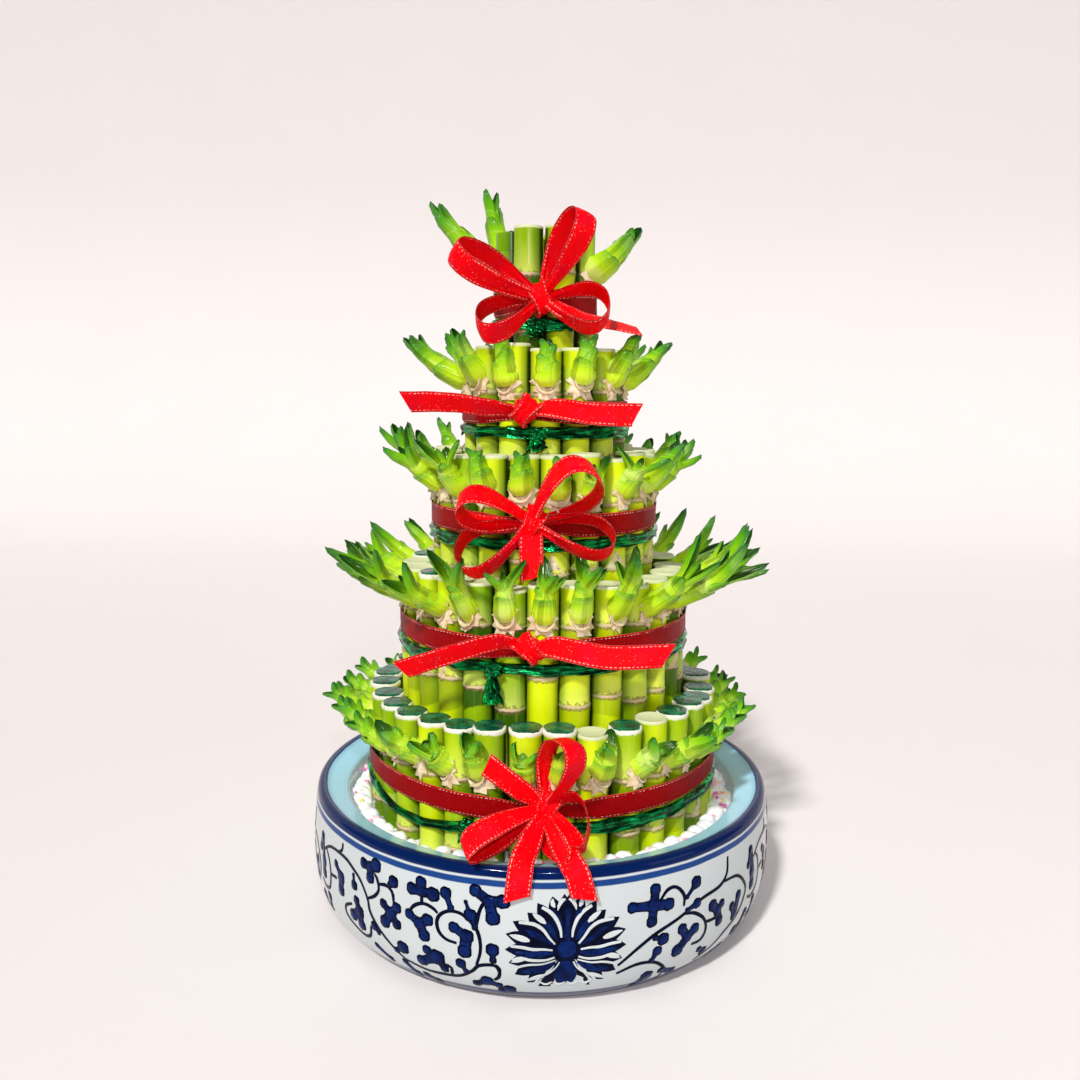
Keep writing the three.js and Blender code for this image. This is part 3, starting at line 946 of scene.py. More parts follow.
# Rings of the wax on a top: height from it and width
WAX_DROP = (
    (-0.9, 0.5),
    (-0.6, 0.86),
    (-0.1, 0.97),
    (0.45, 0.95),
    (0.75, 0.82),
    (0.5, 0.6),
    (0.85, 0.36),
    (0.65, 0.06),
)
TIERS = (
    Tier(
        0, bundles=11, each=3, turn=5.5, ring=70.9, cane=6.7, top=100, band_top=75,
        lengths=(22, 22), vary=7, width=4.1, rise=(12, 52), lean=46, hide=0.24,
        opens=True, waxed=0.86,
    ),
    Tier(
        1, bundles=9, each=3, turn=0, ring=56.6, cane=6.6, top=154, band_top=134.5,
        lengths=(35, 43), vary=7, width=3.5, rise=(17, 49), lean=16, hide=0.38,
        opens=True, waxed=0.3,
    ),
    Tier(
        2, bundles=7, each=3, turn=6, ring=42.7, cane=6.4, top=204, band_top=181.5,
        lengths=(30, 24), vary=6, width=3.8, rise=(29, 70), lean=14, hide=0.46,
        opens=True, waxed=0.1,
    ),
    Tier(
        3, bundles=7, each=2, turn=13, ring=28.9, cane=6.45, top=248, band_top=225.5,
        lengths=(31, 26), vary=6, width=3.8, rise=(23, 60), lean=12, hide=0.38,
    ),
    Tier(
        4, bundles=7, each=1, turn=22.4, ring=15.2, cane=6.3, top=298, band_top=269.5,
        lengths=(42, 28), vary=3, width=4.4, rise=(28, 58), bare=45, upright=4,
    ),
)


@dataclass
class Shoot:
    """A young shoot: overlapping leaf sheaths that open into pointed tips."""

    tier: Tier
    cane: Cane
    skin: Material
    husk: Material
    sunk: float = 0.82
    rooted: float = -2.2
    above_band: float = 9.4
    upright_tilt: float = 28
    hidden_rise: Pair = (76, 84)
    sides: int = 12

    def __post_init__(self) -> None:
        """Works out the shoot's length, its rise and its heading."""
        tier, rank, index = self.tier, self.tier.rank, self.cane.index
        self.angle = math.atan2(math.sin(self.cane.angle), math.cos(self.cane.angle))
        self.grows = abs(self.angle) >= math.radians(tier.bare)
        hidden = clamp(1.5 - abs(self.angle) / min(30 / tier.ring, 0.9))
        full = lerp(*tier.lengths, 0.5 + math.sin(self.angle) / 2)
        self.length = (full + tier.vary * scatter(rank, index, 3)) * (1 - tier.hide * hidden)
        tilt = self.upright_tilt if index == tier.upright else 12 * scatter(rank, index, 5)
        self.rise = [lerp(a + tilt, b, hidden) for a, b in zip(tier.rise, self.hidden_rise)]
        self.sway = 5 * scatter(rank, index, 7) * clamp(math.cos(self.angle) * 2)
        swing = tier.lean * math.sin(2 * self.angle) * (1 if math.cos(self.angle) > 0 else 0.3)
        self.heading = self.angle + math.radians(swing + 8 * scatter(rank, index, 4))
        self.height = tier.band_top + self.above_band + 3 * scatter(rank, index, 6)

    def bend(self, point: Vector) -> Vector:
        """Carries a point of a straight shoot along +Z to its place on the cane."""
        start, end = (math.radians(r) for r in self.rise)
        turn = (end - start) / self.length
        rise = start + turn * point.z
        out = (math.sin(rise) - math.sin(start)) / turn + point.x * math.sin(rise)
        up = (math.cos(start) - math.cos(rise)) / turn - point.x * math.cos(rise)
        root = around(self.cane.angle, self.tier.ring, 0)
        root += around(self.heading, self.cane.radius * self.sunk + out, self.height + up)
        drift = self.sway * clamp(point.z / self.length) ** 1.6
        return root + around(self.heading + math.pi / 2, point.y + drift, 0)

    def sheath(
        self, low: float, high: float, width: float, side: float, curl: float, mouth: float
    ) -> Piece:
        """One sheath: a tube from low to its mouth, drawn out on one side to a pointed blade.

        Args:
            low: where it starts along the shoot, in millimetres.
            high: where its blade ends.
            width: its radius.
            side: the side the blade is on, in degrees from the outer side.
            curl: how far the blade's tip leans out.
            mouth: the share of its length at which it opens.

        Returns:
            The sheath as a part.
        """
        after = 1 - mouth
        levels = [0, 0.14, 0.32, mouth * 0.8, mouth, mouth + after * 0.12]
        levels += [mouth + after * s for s in (0.3, 0.5, 0.7, 0.86, 0.95, 1.0)]
        wide = (
            (0, 0.84), (mouth * 0.35, 1.12), (mouth * 0.8, 1.0), (mouth, 0.95),
            (mouth + after * 0.5, 0.78), (mouth + after * 0.85, 0.42), (1.0, 0.03),
        )
        turn = math.radians(side)
        notch = 0.38 * mouth * (high - low)
        rings = []
        turns = [TURN * k / self.sides for k in range(self.sides)]
        for share in levels:
            z = lerp(low, high, share)
            radius = width * table(wide, share)
            fold = clamp((share - mouth * 0.9) / (after * 0.25 + mouth * 0.1))
            lean = curl * clamp((share - mouth) / after) ** (1.7 if mouth > 0.5 else 1.2)
            keel = 1 + 0.25 * clamp((share - mouth) / after)
            ring = []
            for a in turns:
                x = radius * math.cos(a) * (keel if math.cos(a) > 0 else 1)
                if math.cos(a) < 0:
                    x = lerp(x, -0.62 * x - 0.12 * radius, fold)
                x += lean + fold * radius * 0.1
                y = radius * math.sin(a)
                down = notch * (1 - math.cos(a)) / 2 * min(1, share / mouth) ** 2 * (1 - fold)
                spot = Matrix.Rotation(turn, 3, "Z") @ Vector((x, y, z - down))
                ring.append(self.bend(spot))
            rings.append(ring)
        lips = [clamp((share - mouth) / after) for share in levels]
        whole = self.length
        return Stack.shape("sheath", rings, self.skin, {
            "along": lambda ring, k: clamp(lerp(low, high, levels[ring]) / whole),
            "girth": lambda ring, k: k / self.sides,
            "lip": lambda ring, k: lips[ring] ** 3,
            "own": lambda ring, k: levels[ring],
            "rim": lambda ring, k: 1.0 if ring == 4 and mouth > 0.55 else 0.0,
            # inner: the inner side of an opened blade, which the finish paints in shadow
            "inner": lambda ring, k: clamp(lips[ring] * 3) * clamp(-math.cos(turns[k]) * 1.6),
        })

    def grown(self, plan: Sequence[tuple[float, ...]]) -> list[Piece]:
        """The sheaths of a plan.

        Args:
            plan: for each sheath, its start and its end as shares of the shoot's length, its
                radius as a share of the tier's, and its side, curl and mouth.

        Returns:
            The sheaths; the first starts inside the cane.
        """
        long, width = self.length, self.tier.width
        return [
            self.sheath(long * low if i else self.rooted, long * high, width * wide, *rest)
            for i, (low, high, wide, *rest) in enumerate(plan)
        ]

    def sheaths(self) -> list[Piece]:
        """The sheaths from the root up, and the spear or the open leaves they end in."""
        rank, index = self.tier.rank, self.cane.index
        draw = [scatter(rank, index, salt) for salt in range(20, 34)]
        if rank == 0 and abs(self.angle) > 0.75:
            return self.grown(self.scaly(draw))
        opened = scatter(rank, index, 35) > (0.1 if rank == 2 else -0.42)
        return self.grown(self.leafy(draw) if self.tier.opens and opened else self.bud(draw))

    def scaly(self, draw: Sequence[float]) -> list[tuple[float, ...]]:
        """The plan of a shoot with short scales on both sides, as on the sides of tier 1."""
        first = 180 if draw[0] > 0.1 else 0
        plan = []
        for n in range(4):
            high = min(1.0, 0.50 + 0.16 * n + 0.08 * draw[n + 1])
            side = (first if n % 2 else 180 - first) + 120 * draw[n + 2]
            plan.append((0.2 * n - 0.06, high, 1.32 - 0.17 * n, side, 4.2 + 2.4 * draw[n + 3], 0.52))
        return [*plan, (0.58, 1.04, 0.6, first + 160, 2.2, 0.6)]

    def leafy(self, draw: Sequence[float]) -> list[tuple[float, ...]]:
        """The plan of a shoot that opens into a fan of leaves."""
        fan = 360 * draw[6]
        opening = (8.5 + 5 * draw[7]) * (0.62 if self.tier.rank == 0 else 1)
        plan = [
            (0, 0.40 + 0.08 * draw[1], 1.3, 25 * draw[2], 1.0, 0.82),
            (0.08, 0.58 + 0.1 * draw[3], 1.08, fan + 90, 2.6, 0.74),
            (0.26, 1.0, 1.04, fan, opening, 0.36),
            (0.28, 0.9 + 0.12 * draw[9], 1.0, fan + 180 + 50 * draw[8], opening, 0.36),
            (0.40, 0.8, 0.5, fan + 90, 1.2, 0.5),
        ]
        if draw[10] > -0.1:
            plan.append((0.2, 0.72 + 0.1 * draw[11], 1.0, fan - 90, opening * 0.8, 0.42))
        return plan

    def bud(self, draw: Sequence[float]) -> list[tuple[float, ...]]:
        """The plan of a closed bud, whose sheaths overlap from one side and the other."""
        flip = 1 if draw[0] > 0 else -1
        return [
            (0, 0.50 + 0.12 * draw[1], 1.34, flip * (62 + 40 * draw[2]), 1.4, 0.72),
            (0.06, 0.66 + 0.1 * draw[3], 1.14, -flip * (70 + 50 * draw[4]), 2.0, 0.70),
            (0.22, 0.84 + 0.1 * draw[5], 0.95, flip * (60 + 70 * draw[6]), 2.8, 0.66),
            (0.38, 1.0, 0.78, -flip * (40 + 60 * draw[8]), 2.4 + 2 * draw[7], 0.62),
            (0.42, 0.94 + 0.08 * draw[9], 0.66, flip * 130 + 60 * draw[8], 3.0, 0.62),
            (0.5, 0.88 + 0.08 * draw[10], 0.5, 90 + 90 * draw[11], 1.2, 0.6),
        ]

    def collar(self) -> Piece:
        """The torn papery ring that the shoot pushed through, pressed on the cane's side."""
        rank, index = self.tier.rank, self.cane.index
        sides = 24
        width = self.tier.width * 1.12
        centre = around(self.cane.angle, self.tier.ring, 0)

        def on_cane(across: float, up: float, lift: float) -> Vector:
            """The point that far across and up from the root, lifted off the cane."""
            swing = across / (self.cane.radius + 1.2)
            height = max(self.height + up, self.tier.band_top + 0.5)
            return centre + around(self.heading + swing, self.cane.radius + lift, height)

        def ring(reach: Callable[[int], float], lift: float, flare: float = 0.0) -> Row:
            """One ring of the collar round the root, its points bent out by flare."""
            row = []
            for k in range(sides):
                a = TURN * k / sides
                r = reach(k)
                height = lift + (flare if k % 2 == 0 else 0.0)
                row.append(on_cane(r * math.sin(a) * 0.92, -1.2 + r * math.cos(a), height))
            return row

        def torn(k: int) -> float:
            """How far the torn edge reaches: long points below and at the sides."""
            draw = scatter(rank, index * 31 + k // 2, 41)
            below = 1 - math.cos(TURN * k / sides)
            point = clamp(0.75 + 1.9 * draw) if k % 2 == 0 else 0.12 + 0.3 * (draw > 0)
            return width * (1.2 + 0.08 * below + point * (0.34 + 0.56 * below))

        rise = 1.9 + scatter(rank, index, 42)
        rings = [
            ring(torn, -0.25, 1.1),
            ring(lambda k: torn(k) - 0.15, 0.28, 1.1),
            ring(lambda k: width * 1.25, 0.75),
            ring(lambda k: width * 1.16 + 0.3 * scatter(rank, index * 17 + k, 43), rise),
            ring(lambda k: width * 1.02, rise - 0.1),
            ring(lambda k: width * 0.9, 0.2),
        ]
        return Stack.shape("collar", rings, self.husk, {
            "lip": lambda level, k: (1.0, 0.7, 0.15, 0.9, 0.6, 0.0)[level],
        })

    def parts(self) -> list[Piece]:
        """Everything that grows out of the cane."""
        return [*self.sheaths(), self.collar()] if self.grows else []


@dataclass
class Bundle:
    """The canes of one CAD bundle with their cut tops, wax, scars and shoots."""

    tier: Tier
    canes: list[Cane]
    finishes: dict[str, Material]
    foot: float = 6.3
    sides: int = 16
    scar_step: float = 27
    lowest_step: float = 26

    def dark(self, cane: Cane) -> float:
        """How dark a cane is below its scars."""
        return clamp(0.4 + 1.1 * scatter(self.tier.rank, cane.index, 14))

    def scar(self, cane: Cane) -> float:
        """The height of a cane's top leaf scar, which its shoot grew from."""
        above = 8.5 if self.tier.rank == 4 else 3.4
        return self.tier.band_top + above + 1.5 * scatter(self.tier.rank, cane.index, 10)

    def lower_scar(self, cane: Cane) -> float:
        """The height of the next leaf scar below, which a dry leaf base may stick to."""
        return self.scar(cane) - self.scar_step - 14 * scatter(self.tier.rank, cane.index, 11)

    def stem(self, cane: Cane) -> Piece:
        """One cane with its leaf scars and its cut top.

        A row of its plan gives a ring's height and width, and how far it is scar, dark skin
        under a scar, pale skin above one and cut wood.
        """
        rank, index = self.tier.rank, cane.index
        draw = [scatter(rank, index, salt) for salt in range(10, 20)]
        lower = self.lower_scar(cane)
        lowest = max(lower - self.lowest_step - 12 * draw[2], self.foot + 14)
        waxed = self.waxed(cane)
        domed = (rank, index) == DOMED
        plan = [(self.foot, 1.0, 0, 0, 0, 0), (lowest - 12, 0.985, 0, 0, 0, 0)]
        for scar in sorted({lowest, lower, self.scar(cane)}):
            plan += [(scar + up, *rest, 0) for up, *rest in SCAR_RINGS]
        for up, scale, above, cut in (*(DIPPED_RINGS if waxed else SAWN_RINGS), *FACE_RINGS):
            plan.append((cane.top + up, scale, 0, 0, above, cut))
        if domed:
            plan[-len(DOME):] = [(cane.top - down, scale, 0, 0, 0, 0) for down, scale in DOME]
        centre = around(cane.angle, self.tier.ring, 0)
        bow = 0.5 * draw[3]
        # how far each side of the cane turns away from its outer face; the finish reads it as beside
        # and darkens those sides as painted shade
        side_shade_shares = [clamp(1 - math.cos(TURN * k / self.sides)) for k in range(self.sides)]
        rings = []
        for height, scale, *_ in plan:
            ring = []
            for k in range(self.sides):
                a = TURN * k / self.sides
                lumpy = 1 + 0.03 * noise(Vector((math.cos(a), math.sin(a), height * 0.06 + index)))
                out = bow * math.sin(height * 0.045 + index) * 0.4
                skin = around(cane.angle + a, cane.radius * scale * lumpy, height)
                ring.append(centre + skin + around(cane.angle, out, 0))
            rings.append(ring)

        def wave(k: int) -> float:
            """How much further the dark skin reaches on one side of a cane than on the other."""
            return 0.3 * math.sin(TURN * k / self.sides + 5 * draw[6])

        return Stack.shape("stem", rings, self.finishes["cane"], {
            "scar": lambda ring, k: plan[ring][2],
            "under": lambda ring, k: plan[ring][3] + (wave(k) if plan[ring][2] < 0.2 else 0),
            "above": lambda ring, k: plan[ring][4],
            "cut": lambda ring, k: plan[ring][5],
            "tone": lambda ring, k: draw[4] + (0.58 if rank == 0 else 1.3 if domed else 0.36),
            "dark": lambda ring, k: self.dark(cane),
            "crusted": lambda ring, k: 1.0 if waxed else 0.0,
            "beside": lambda ring, k: side_shade_shares[k] * (plan[ring][5] < 0.5),
        })

    def waxed(self, cane: Cane) -> bool:
        """Whether a cane's top is sealed with wax: most low tiers' tops, and more at the back."""
        behind = 0.5 - 0.5 * math.cos(cane.angle)
        share = self.tier.waxed * (1 if self.tier.rank == 0 else 1.6 * behind)
        return scatter(self.tier.rank, cane.index, 51) + 0.5 < share

    def cap(self, cane: Cane) -> Piece:
        """The wax on a cut top: a low dome with a swirl, run over the rim in places."""
        centre = around(cane.angle, self.tier.ring, 0)
        sides = 14
        reach = [cane.radius * (1 + 0.05 * scatter(k, cane.index, 52)) for k in range(sides)]
        rings = [
            [centre + around(TURN * k / sides, reach[k] * scale, cane.top + lift) for k in range(sides)]
            for lift, scale in WAX_DROP
        ]
        return Stack.shape("wax", rings, self.finishes["wax"])

    def patch(self, cane: Cane, height: float) -> Piece:
        """A dry triangle of old leaf base left above a scar, flat on the cane."""
        rank, index = self.tier.rank, cane.index
        lean = 2.4 * scatter(rank, index, 61)
        tall = 9 + 5 * scatter(rank, index, 62)
        turn = cane.angle + 0.9 * scatter(rank, index, 63)
        centre = around(cane.angle, self.tier.ring, 0)
        foot = [(-4.6, 0), (-2, -0.4), (1.5, -0.6), (4.6, 0)]
        outline = foot + [(2.6 + lean / 2, tall * 0.4), (lean, tall), (-2 + lean / 2, tall * 0.5)]
        rings = [
            [
                centre + around(turn + across / cane.radius, cane.radius + lift, height + up)
                for across, up in outline
            ]
            for lift in (-0.3, 0.25)
        ]
        return Stack.shape("patch", rings, self.finishes["husk"], {"lip": lambda level, k: 0.15})

    def build(self, number: int) -> Piece:
        """Builds the bundle and sets it in place of its CAD node."""
        parts = []
        for cane in self.canes:
            parts.append(self.stem(cane))
            if self.waxed(cane):
                parts.append(self.cap(cane))
            if scatter(self.tier.rank, cane.index, 64) > 0.12:
                parts.append(self.patch(cane, self.lower_scar(cane) + 0.5))
            skin = self.finishes["sheath" if self.tier.rank else "young"]
            parts += Shoot(self.tier, cane, skin, self.finishes["husk"]).parts()
        label = f"{number + 1:02d}"
        piece = Bench.join(parts, f"{self.tier.name}_stalks_{label}")
        Bench.finish(piece, "cane", [f"{self.tier.name}_canes_{label}"], 55)
        return piece


# Ribbons and foil


class RibbonShading(Enum):
    """How a run of ribbon is coloured: the bow in full light, the tight band in painted shade."""

    BOW = 0.0
    BAND = 1.0


@dataclass
class Strap:
    """A flat run of ribbon or foil along points, with a width direction and width at each."""

    points: Row
    across: Row
    widths: list[float]
    thickness: float
    material: Material
    # weave: whether the run is the bow in full light or the band, which the satin paints in shade
    weave: RibbonShading = RibbonShading.BOW
    skew: float = 0.0
    cells: int = 8
    crease: Callable[[int, float], float] = lambda i, u: 0.0

    def build(self, name: str) -> Piece:
        """Lays the strap as a closed strip."""
        last = len(self.points) - 1
        run = run_along(self.points)
        lanes = [(-1 + 2 * j / self.cells, 1) for j in range(self.cells + 1)]
        lanes += [(u, -1) for u, _ in reversed(lanes)]
        rings = []
        for i, point in enumerate(self.points):
            ahead = (self.points[min(i + 1, last)] - self.points[max(i - 1, 0)]).normalized()
            wide = (self.across[i] - ahead * self.across[i].dot(ahead)).normalized()
            thick = ahead.cross(wide)
            ring = []
            for u, side in lanes:
                end = self.skew * u / 2 if i == last else 0
                lift = side * self.thickness / 2 + self.crease(i, u)
                ring.append(point + wide * (u * self.widths[i] / 2) + thick * lift + ahead * end)
            rings.append(ring)
        return Stack.shape(name, rings, self.material, {
            "across": lambda ring, k: lanes[k][0],
            "along": lambda ring, k: run[ring],
            "band": lambda ring, k: self.weave.value,
        })


@dataclass(frozen=True)
class Loop:
    """A loop of a bow: its tip from the knot (right, out, up), and how far its two runs
    stand apart across the view and along it."""

    tip: Triple
    offset: float
    depth: float


@dataclass(frozen=True)
class Tail:
    """A tail of a bow: the points it runs through, its roll from end to end and its cut."""

    points: tuple[Triple, ...]
    roll: Pair
    skew: float


@dataclass
class Ribbon:
    """One tier's red ribbon: the band round the canes and the bow at the front."""

    tier: Tier
    knot: Pair
    loops: tuple[Loop, ...]
    tails: tuple[Tail, ...]
    satin: Material
    width: float = 9.5
    thickness: float = 0.7
    pinch: float = 0.45
    knot_size: Triple = (6.0, 3.6, 5.4)
    standoff: float = 0.65
    gap: float = 0.3

    @property
    def centre(self) -> Vector:
        """The middle of the knot."""
        side, height = self.knot
        return Vector((side, -self.tier.front_of(side, self.gap) - self.knot_size[1], height))

    def rolled(self, ahead: Vector, degrees: float) -> Vector:
        """The ribbon's width direction: to the front, rolled about its path."""
        beside = ahead.cross(FRONT).normalized()
        roll = math.radians(degrees)
        return FRONT * math.cos(roll) + beside * math.sin(roll)

    def pinched(self, share: float) -> float:
        """The ribbon's width at a share of its way from the pinch in the knot."""
        return self.width * lerp(self.pinch, 1, clamp(share))

    def loop(self, number: int, loop: Loop) -> Piece:
        """A loop from the knot out to its tip and back."""
        rank = self.tier.rank
        steps = 36
        side, out, up = loop.tip
        tip = Vector((side, -out, up))
        spread = FRONT.cross(tip).normalized() * (loop.offset / 2) + FRONT * (loop.depth / 2)
        wide = tip.cross(spread).normalized()
        centre = self.centre

        def path(share: float) -> Vector:
            """The loop's line."""
            held = FRONT * (self.standoff * loop.depth * math.sin(math.pi * share) ** 2)
            return centre + tip * math.sin(math.pi * share) + spread * math.sin(TURN * share) + held

        shares = [i / steps for i in range(steps + 1)]
        opened = [1.6 * math.sin(math.pi * share) for share in shares]

        def crease(i: int, u: float) -> float:
            """Gathers near the knot and a soft buckle along the loop."""
            gather = max(0.0, 1 - opened[i]) * 1.1 * math.sin(u * 7 + number)
            buckle = 0.45 * noise(Vector((i * 0.2, u * 0.9, number * 7 + rank)))
            cup = 0.35 * (u * u - 0.4) * math.sin(math.pi * shares[i])
            return gather + buckle + cup

        return Strap(
            [path(share) for share in shares],
            [wide + FRONT * (0.14 * math.sin(5 * share + number * 2 + rank)) for share in shares],
            [self.pinched(share) for share in opened],
            self.thickness * 0.6,
            self.satin,
            crease=crease,
        ).build("loop")

    def tail(self, number: int, tail: Tail) -> Piece:
        """A tail from the knot through its points."""
        steps = 26
        stops = [self.centre + Vector((s, -o, u)) for s, o, u in ((0, 0, 0), *tail.points)]
        shares = [i / steps for i in range(steps + 1)]

        def ahead(share: float) -> Vector:
            """Which way the tail runs at a share of its length."""
            return curve_through(stops, share + 0.02) - curve_through(stops, share - 0.02)

        def crease(i: int, u: float) -> float:
            """Gathers near the knot and a soft wave further out."""
            gather = max(0.0, 1 - 3.5 * shares[i]) * 0.9 * math.sin(u * 6 + number)
            return gather + 0.3 * noise(Vector((i * 0.3, u, number * 5 + 40 + self.tier.rank)))

        return Strap(
            [curve_through(stops, share) for share in shares],
            [self.rolled(ahead(share), lerp(*tail.roll, share)) for share in shares],
            [self.pinched(3 * share) for share in shares],
            self.thickness * 0.6,
            self.satin,
            skew=tail.skew,
            crease=crease,
        ).build("tail")

    def lump(self) -> Piece:
        """The knot: a gathered ball with the ribbon wound over it."""
        wide, deep, tall = self.knot_size
        centre = self.centre

        def move(co: Vector) -> Vector:
            """Stretches the ball to the knot's size and gathers it."""
            folds = 1 + 0.10 * math.sin(co.z * 9 + co.x * 5 + self.tier.rank) + 0.1 * noise(co * 1.6)
            return centre + Vector((co.x * wide * 0.9, co.y * deep, co.z * tall * 0.9)) * folds

        marks = {"across": lambda co: 0.3, "along": lambda co: 0.0, "band": lambda co: 0.0}
        return Bench.ball(move, marks, self.satin)

    def wrap(self) -> Piece:
        """The turn of ribbon that goes over the knot from top to bottom."""
        wide, deep, tall = self.knot_size
        centre = self.centre
        steps = 22
        points = []
        slant = (0.5, -0.9, 0.55, 0.8, -0.5)[self.tier.rank]
        tall *= 1.0 if self.loops else 0.78
        for i in range(steps + 1):
            a = TURN * i / steps
            rise = (tall + 0.2) * math.sin(a)
            points.append(centre + Vector((slant * rise, -(deep + 0.5) * math.cos(a), rise)))
        across = [Vector((1, 0, -slant))] * (steps + 1)
        phases = [TURN * 2 * i / steps + 0.6 for i in range(steps + 1)]
        widths = [self.width * (0.86 - 0.18 * math.cos(phase)) for phase in phases]

        def crease(i: int, u: float) -> float:
            """Pleats along the turn of ribbon."""
            pleat = 0.42 * math.sin(u * 9 + self.tier.rank + 0.1 * i)
            return pleat + 0.3 * noise(Vector((i * 0.4, u * 2, 3)))

        return Strap(
            points, across, widths, self.thickness * 0.7, self.satin, cells=12, crease=crease,
        ).build("wrap")

    def band(self) -> Piece:
        """The band drawn tight round the canes, from one side of the knot to the other."""
        mid = self.gap + self.thickness / 2
        corners = self.tier.outline(mid)
        far = Vector((self.knot[0], 0, 0)) + FRONT * 999
        start = min(range(len(corners)), key=lambda i: (corners[i] - far).length)
        points = subdivided(corners[start:] + corners[:start + 1], 4)
        for _ in range(2):
            inner = [(a + b * 2 + c) / 4 for a, b, c in zip(points, points[1:], points[2:])]
            points = [points[0], *inner, points[-1]]
        height = self.tier.band_top - self.width / 2
        rank = self.tier.rank
        points = [p + UP * (height + 0.25 * noise(p * 0.05 + UP * rank)) for p in points]

        def crease(i: int, u: float) -> float:
            """A lip of selvage and slack between the canes."""
            return 0.22 * noise(Vector((i * 0.7, u * 1.5, rank)))

        centre = self.centre
        widths = [self.pinched(0.25 + ((p - centre).length - 6) / 22) for p in points]
        return Strap(
            points, [UP] * len(points), widths, self.thickness,
            self.satin, RibbonShading.BAND, crease=crease,
        ).build("band")

    def build(self) -> Piece:
        """Builds the ribbon and sets it in place of its CAD node."""
        parts = [self.band(), self.lump(), self.wrap()]
        parts += [self.loop(i, loop) for i, loop in enumerate(self.loops)]
        parts += [self.tail(i, tail) for i, tail in enumerate(self.tails)]
        piece = Bench.join(parts, f"{self.tier.name}_satin_ribbon")
        Bench.finish(piece, "ribbon", [f"{self.tier.name}_ribbon"], 60)
        return piece


@dataclass
class FoilTie:
    """The crushed foil under a ribbon, with its knot and twisted ends."""

    tier: Tier
    angle: float
    hang: float
    foil: Material
    sag: float = 0.0
    height: float = 6.2
    thickness: float = 1.3
    ribbon_width: float = 9.5
    gap: float = 0.3

    def band(self) -> Piece:
        """The crushed band: several creases that run along it and cross."""
        rank = self.tier.rank
        high = self.tier.band_top - self.ribbon_width - self.gap
        corners = self.tier.outline(self.gap + self.thickness * 0.5)
        points = subdivided([*corners, corners[0]], 6)
        run = run_along(points)
        lanes = 9
        shares = [j / (lanes - 1) for j in (*range(lanes), *reversed(range(lanes)))]
        rings = []
        for i, point in enumerate(points):
            out = point.normalized()
            turn = TURN * i / (len(points) - 1)
            sway = Vector((math.cos(turn) * 4, math.sin(turn) * 4, rank * 3.0))
            hung = math.exp(-(((math.atan2(point.x, -point.y) + 0.75) / 0.36) ** 2)) * self.sag
            narrow = (0.74 + 0.26 * noise(sway * 1.3)) * (1 - 0.35 * clamp(hung))
            ring = []
            for k, u in enumerate(shares):
                front = k < lanes
                ridge = 0.6 * math.sin(u * 6.5 + 3 * noise(sway * 0.8) + hung) * math.sin(math.pi * u)
                lift = (self.thickness * 0.45 + ridge) if front else -self.thickness * 0.45
                drop = 0.6 * noise(sway * 1.6) + self.height * (u * narrow + 0.85 * hung)
                ring.append(point + out * clamp(lift, -0.6, 1.3) + UP * (high - 0.3 - drop))
            rings.append(ring)
        return Stack.shape("foil_band", rings, self.foil, {
            "across": lambda ring, k: shares[k] * 6,
            "along": lambda ring, k: run[ring],
        })

    def knot(self) -> list[Piece]:
        """The tuft: a twisted lump with crumpled ends fanned out below it."""
        rank = self.tier.rank
        angle = math.radians(self.angle)
        high = self.tier.band_top - self.ribbon_width - self.gap
        outline = self.tier.outline(self.gap + self.thickness)
        reach = max(-(Matrix.Rotation(-angle, 3, "Z") @ p).y for p in outline)
        centre = around(angle, reach + 0.9, high - self.height / 2)
        beside = around(angle + math.pi / 2, 1, 0)
        out = around(angle, 1, 0)

        def move(co: Vector) -> Vector:
            """Stretches the ball to the knot's size and crushes it."""
            crush = 1 + 0.35 * noise(co * 2.6 + UP * rank) + 0.12 * math.sin(co.z * 12 + co.x * 6)
            return centre + (beside * co.x * 3.6 + out * co.y * 2.2 + UP * co.z * 2.8) * crush

        def end(number: int, side: float, steps: int = 12) -> Piece:
            """One end of the foil, hung down from the knot and out to one side."""
            length = 3.4 + self.hang - abs(side)
            shares = [i / steps for i in range(steps + 1)]
            points = []
            for s in shares:
                sway = 0.8 * noise(Vector((s * 3, number * 3, rank)))
                fan = beside * (side * (0.3 + s) * 1.3 + sway)
                points.append(centre + fan + out * (0.9 * math.sin(s * 3)) - UP * (1 + length * s))
            widths = [lerp(1.6, 4.2, s**0.6) for s in shares]
            across = [beside + out * (0.5 * math.sin(i * 0.8 + number)) for i in range(steps + 1)]

            def crease(i: int, u: float) -> float:
                """Crumples that grow away from the knot."""
                return 0.6 * math.sin(u * 6 + i * 0.5 + number) * min(1, i / 3)

            return Strap(
                points, across, widths, 0.4, self.foil, skew=1.5 * side, cells=6, crease=crease,
            ).build("foil_end")

        marks = {"across": lambda co: co.z * 1.6, "along": lambda co: co.x * 9.0}
        ends = [end(number, side) for number, side in enumerate((-1.5, -0.3, 1.2))]
        return [Bench.ball(move, marks, self.foil), *ends]

    def build(self) -> Piece:
        """Builds the tie and sets it in place of its CAD node."""
        piece = Bench.join([self.band(), *self.knot()], f"{self.tier.name}_crushed_foil")
        Bench.finish(piece, "foil", [f"{self.tier.name}_foil_tie"], 35)
        return piece


# Bowl and pebbles


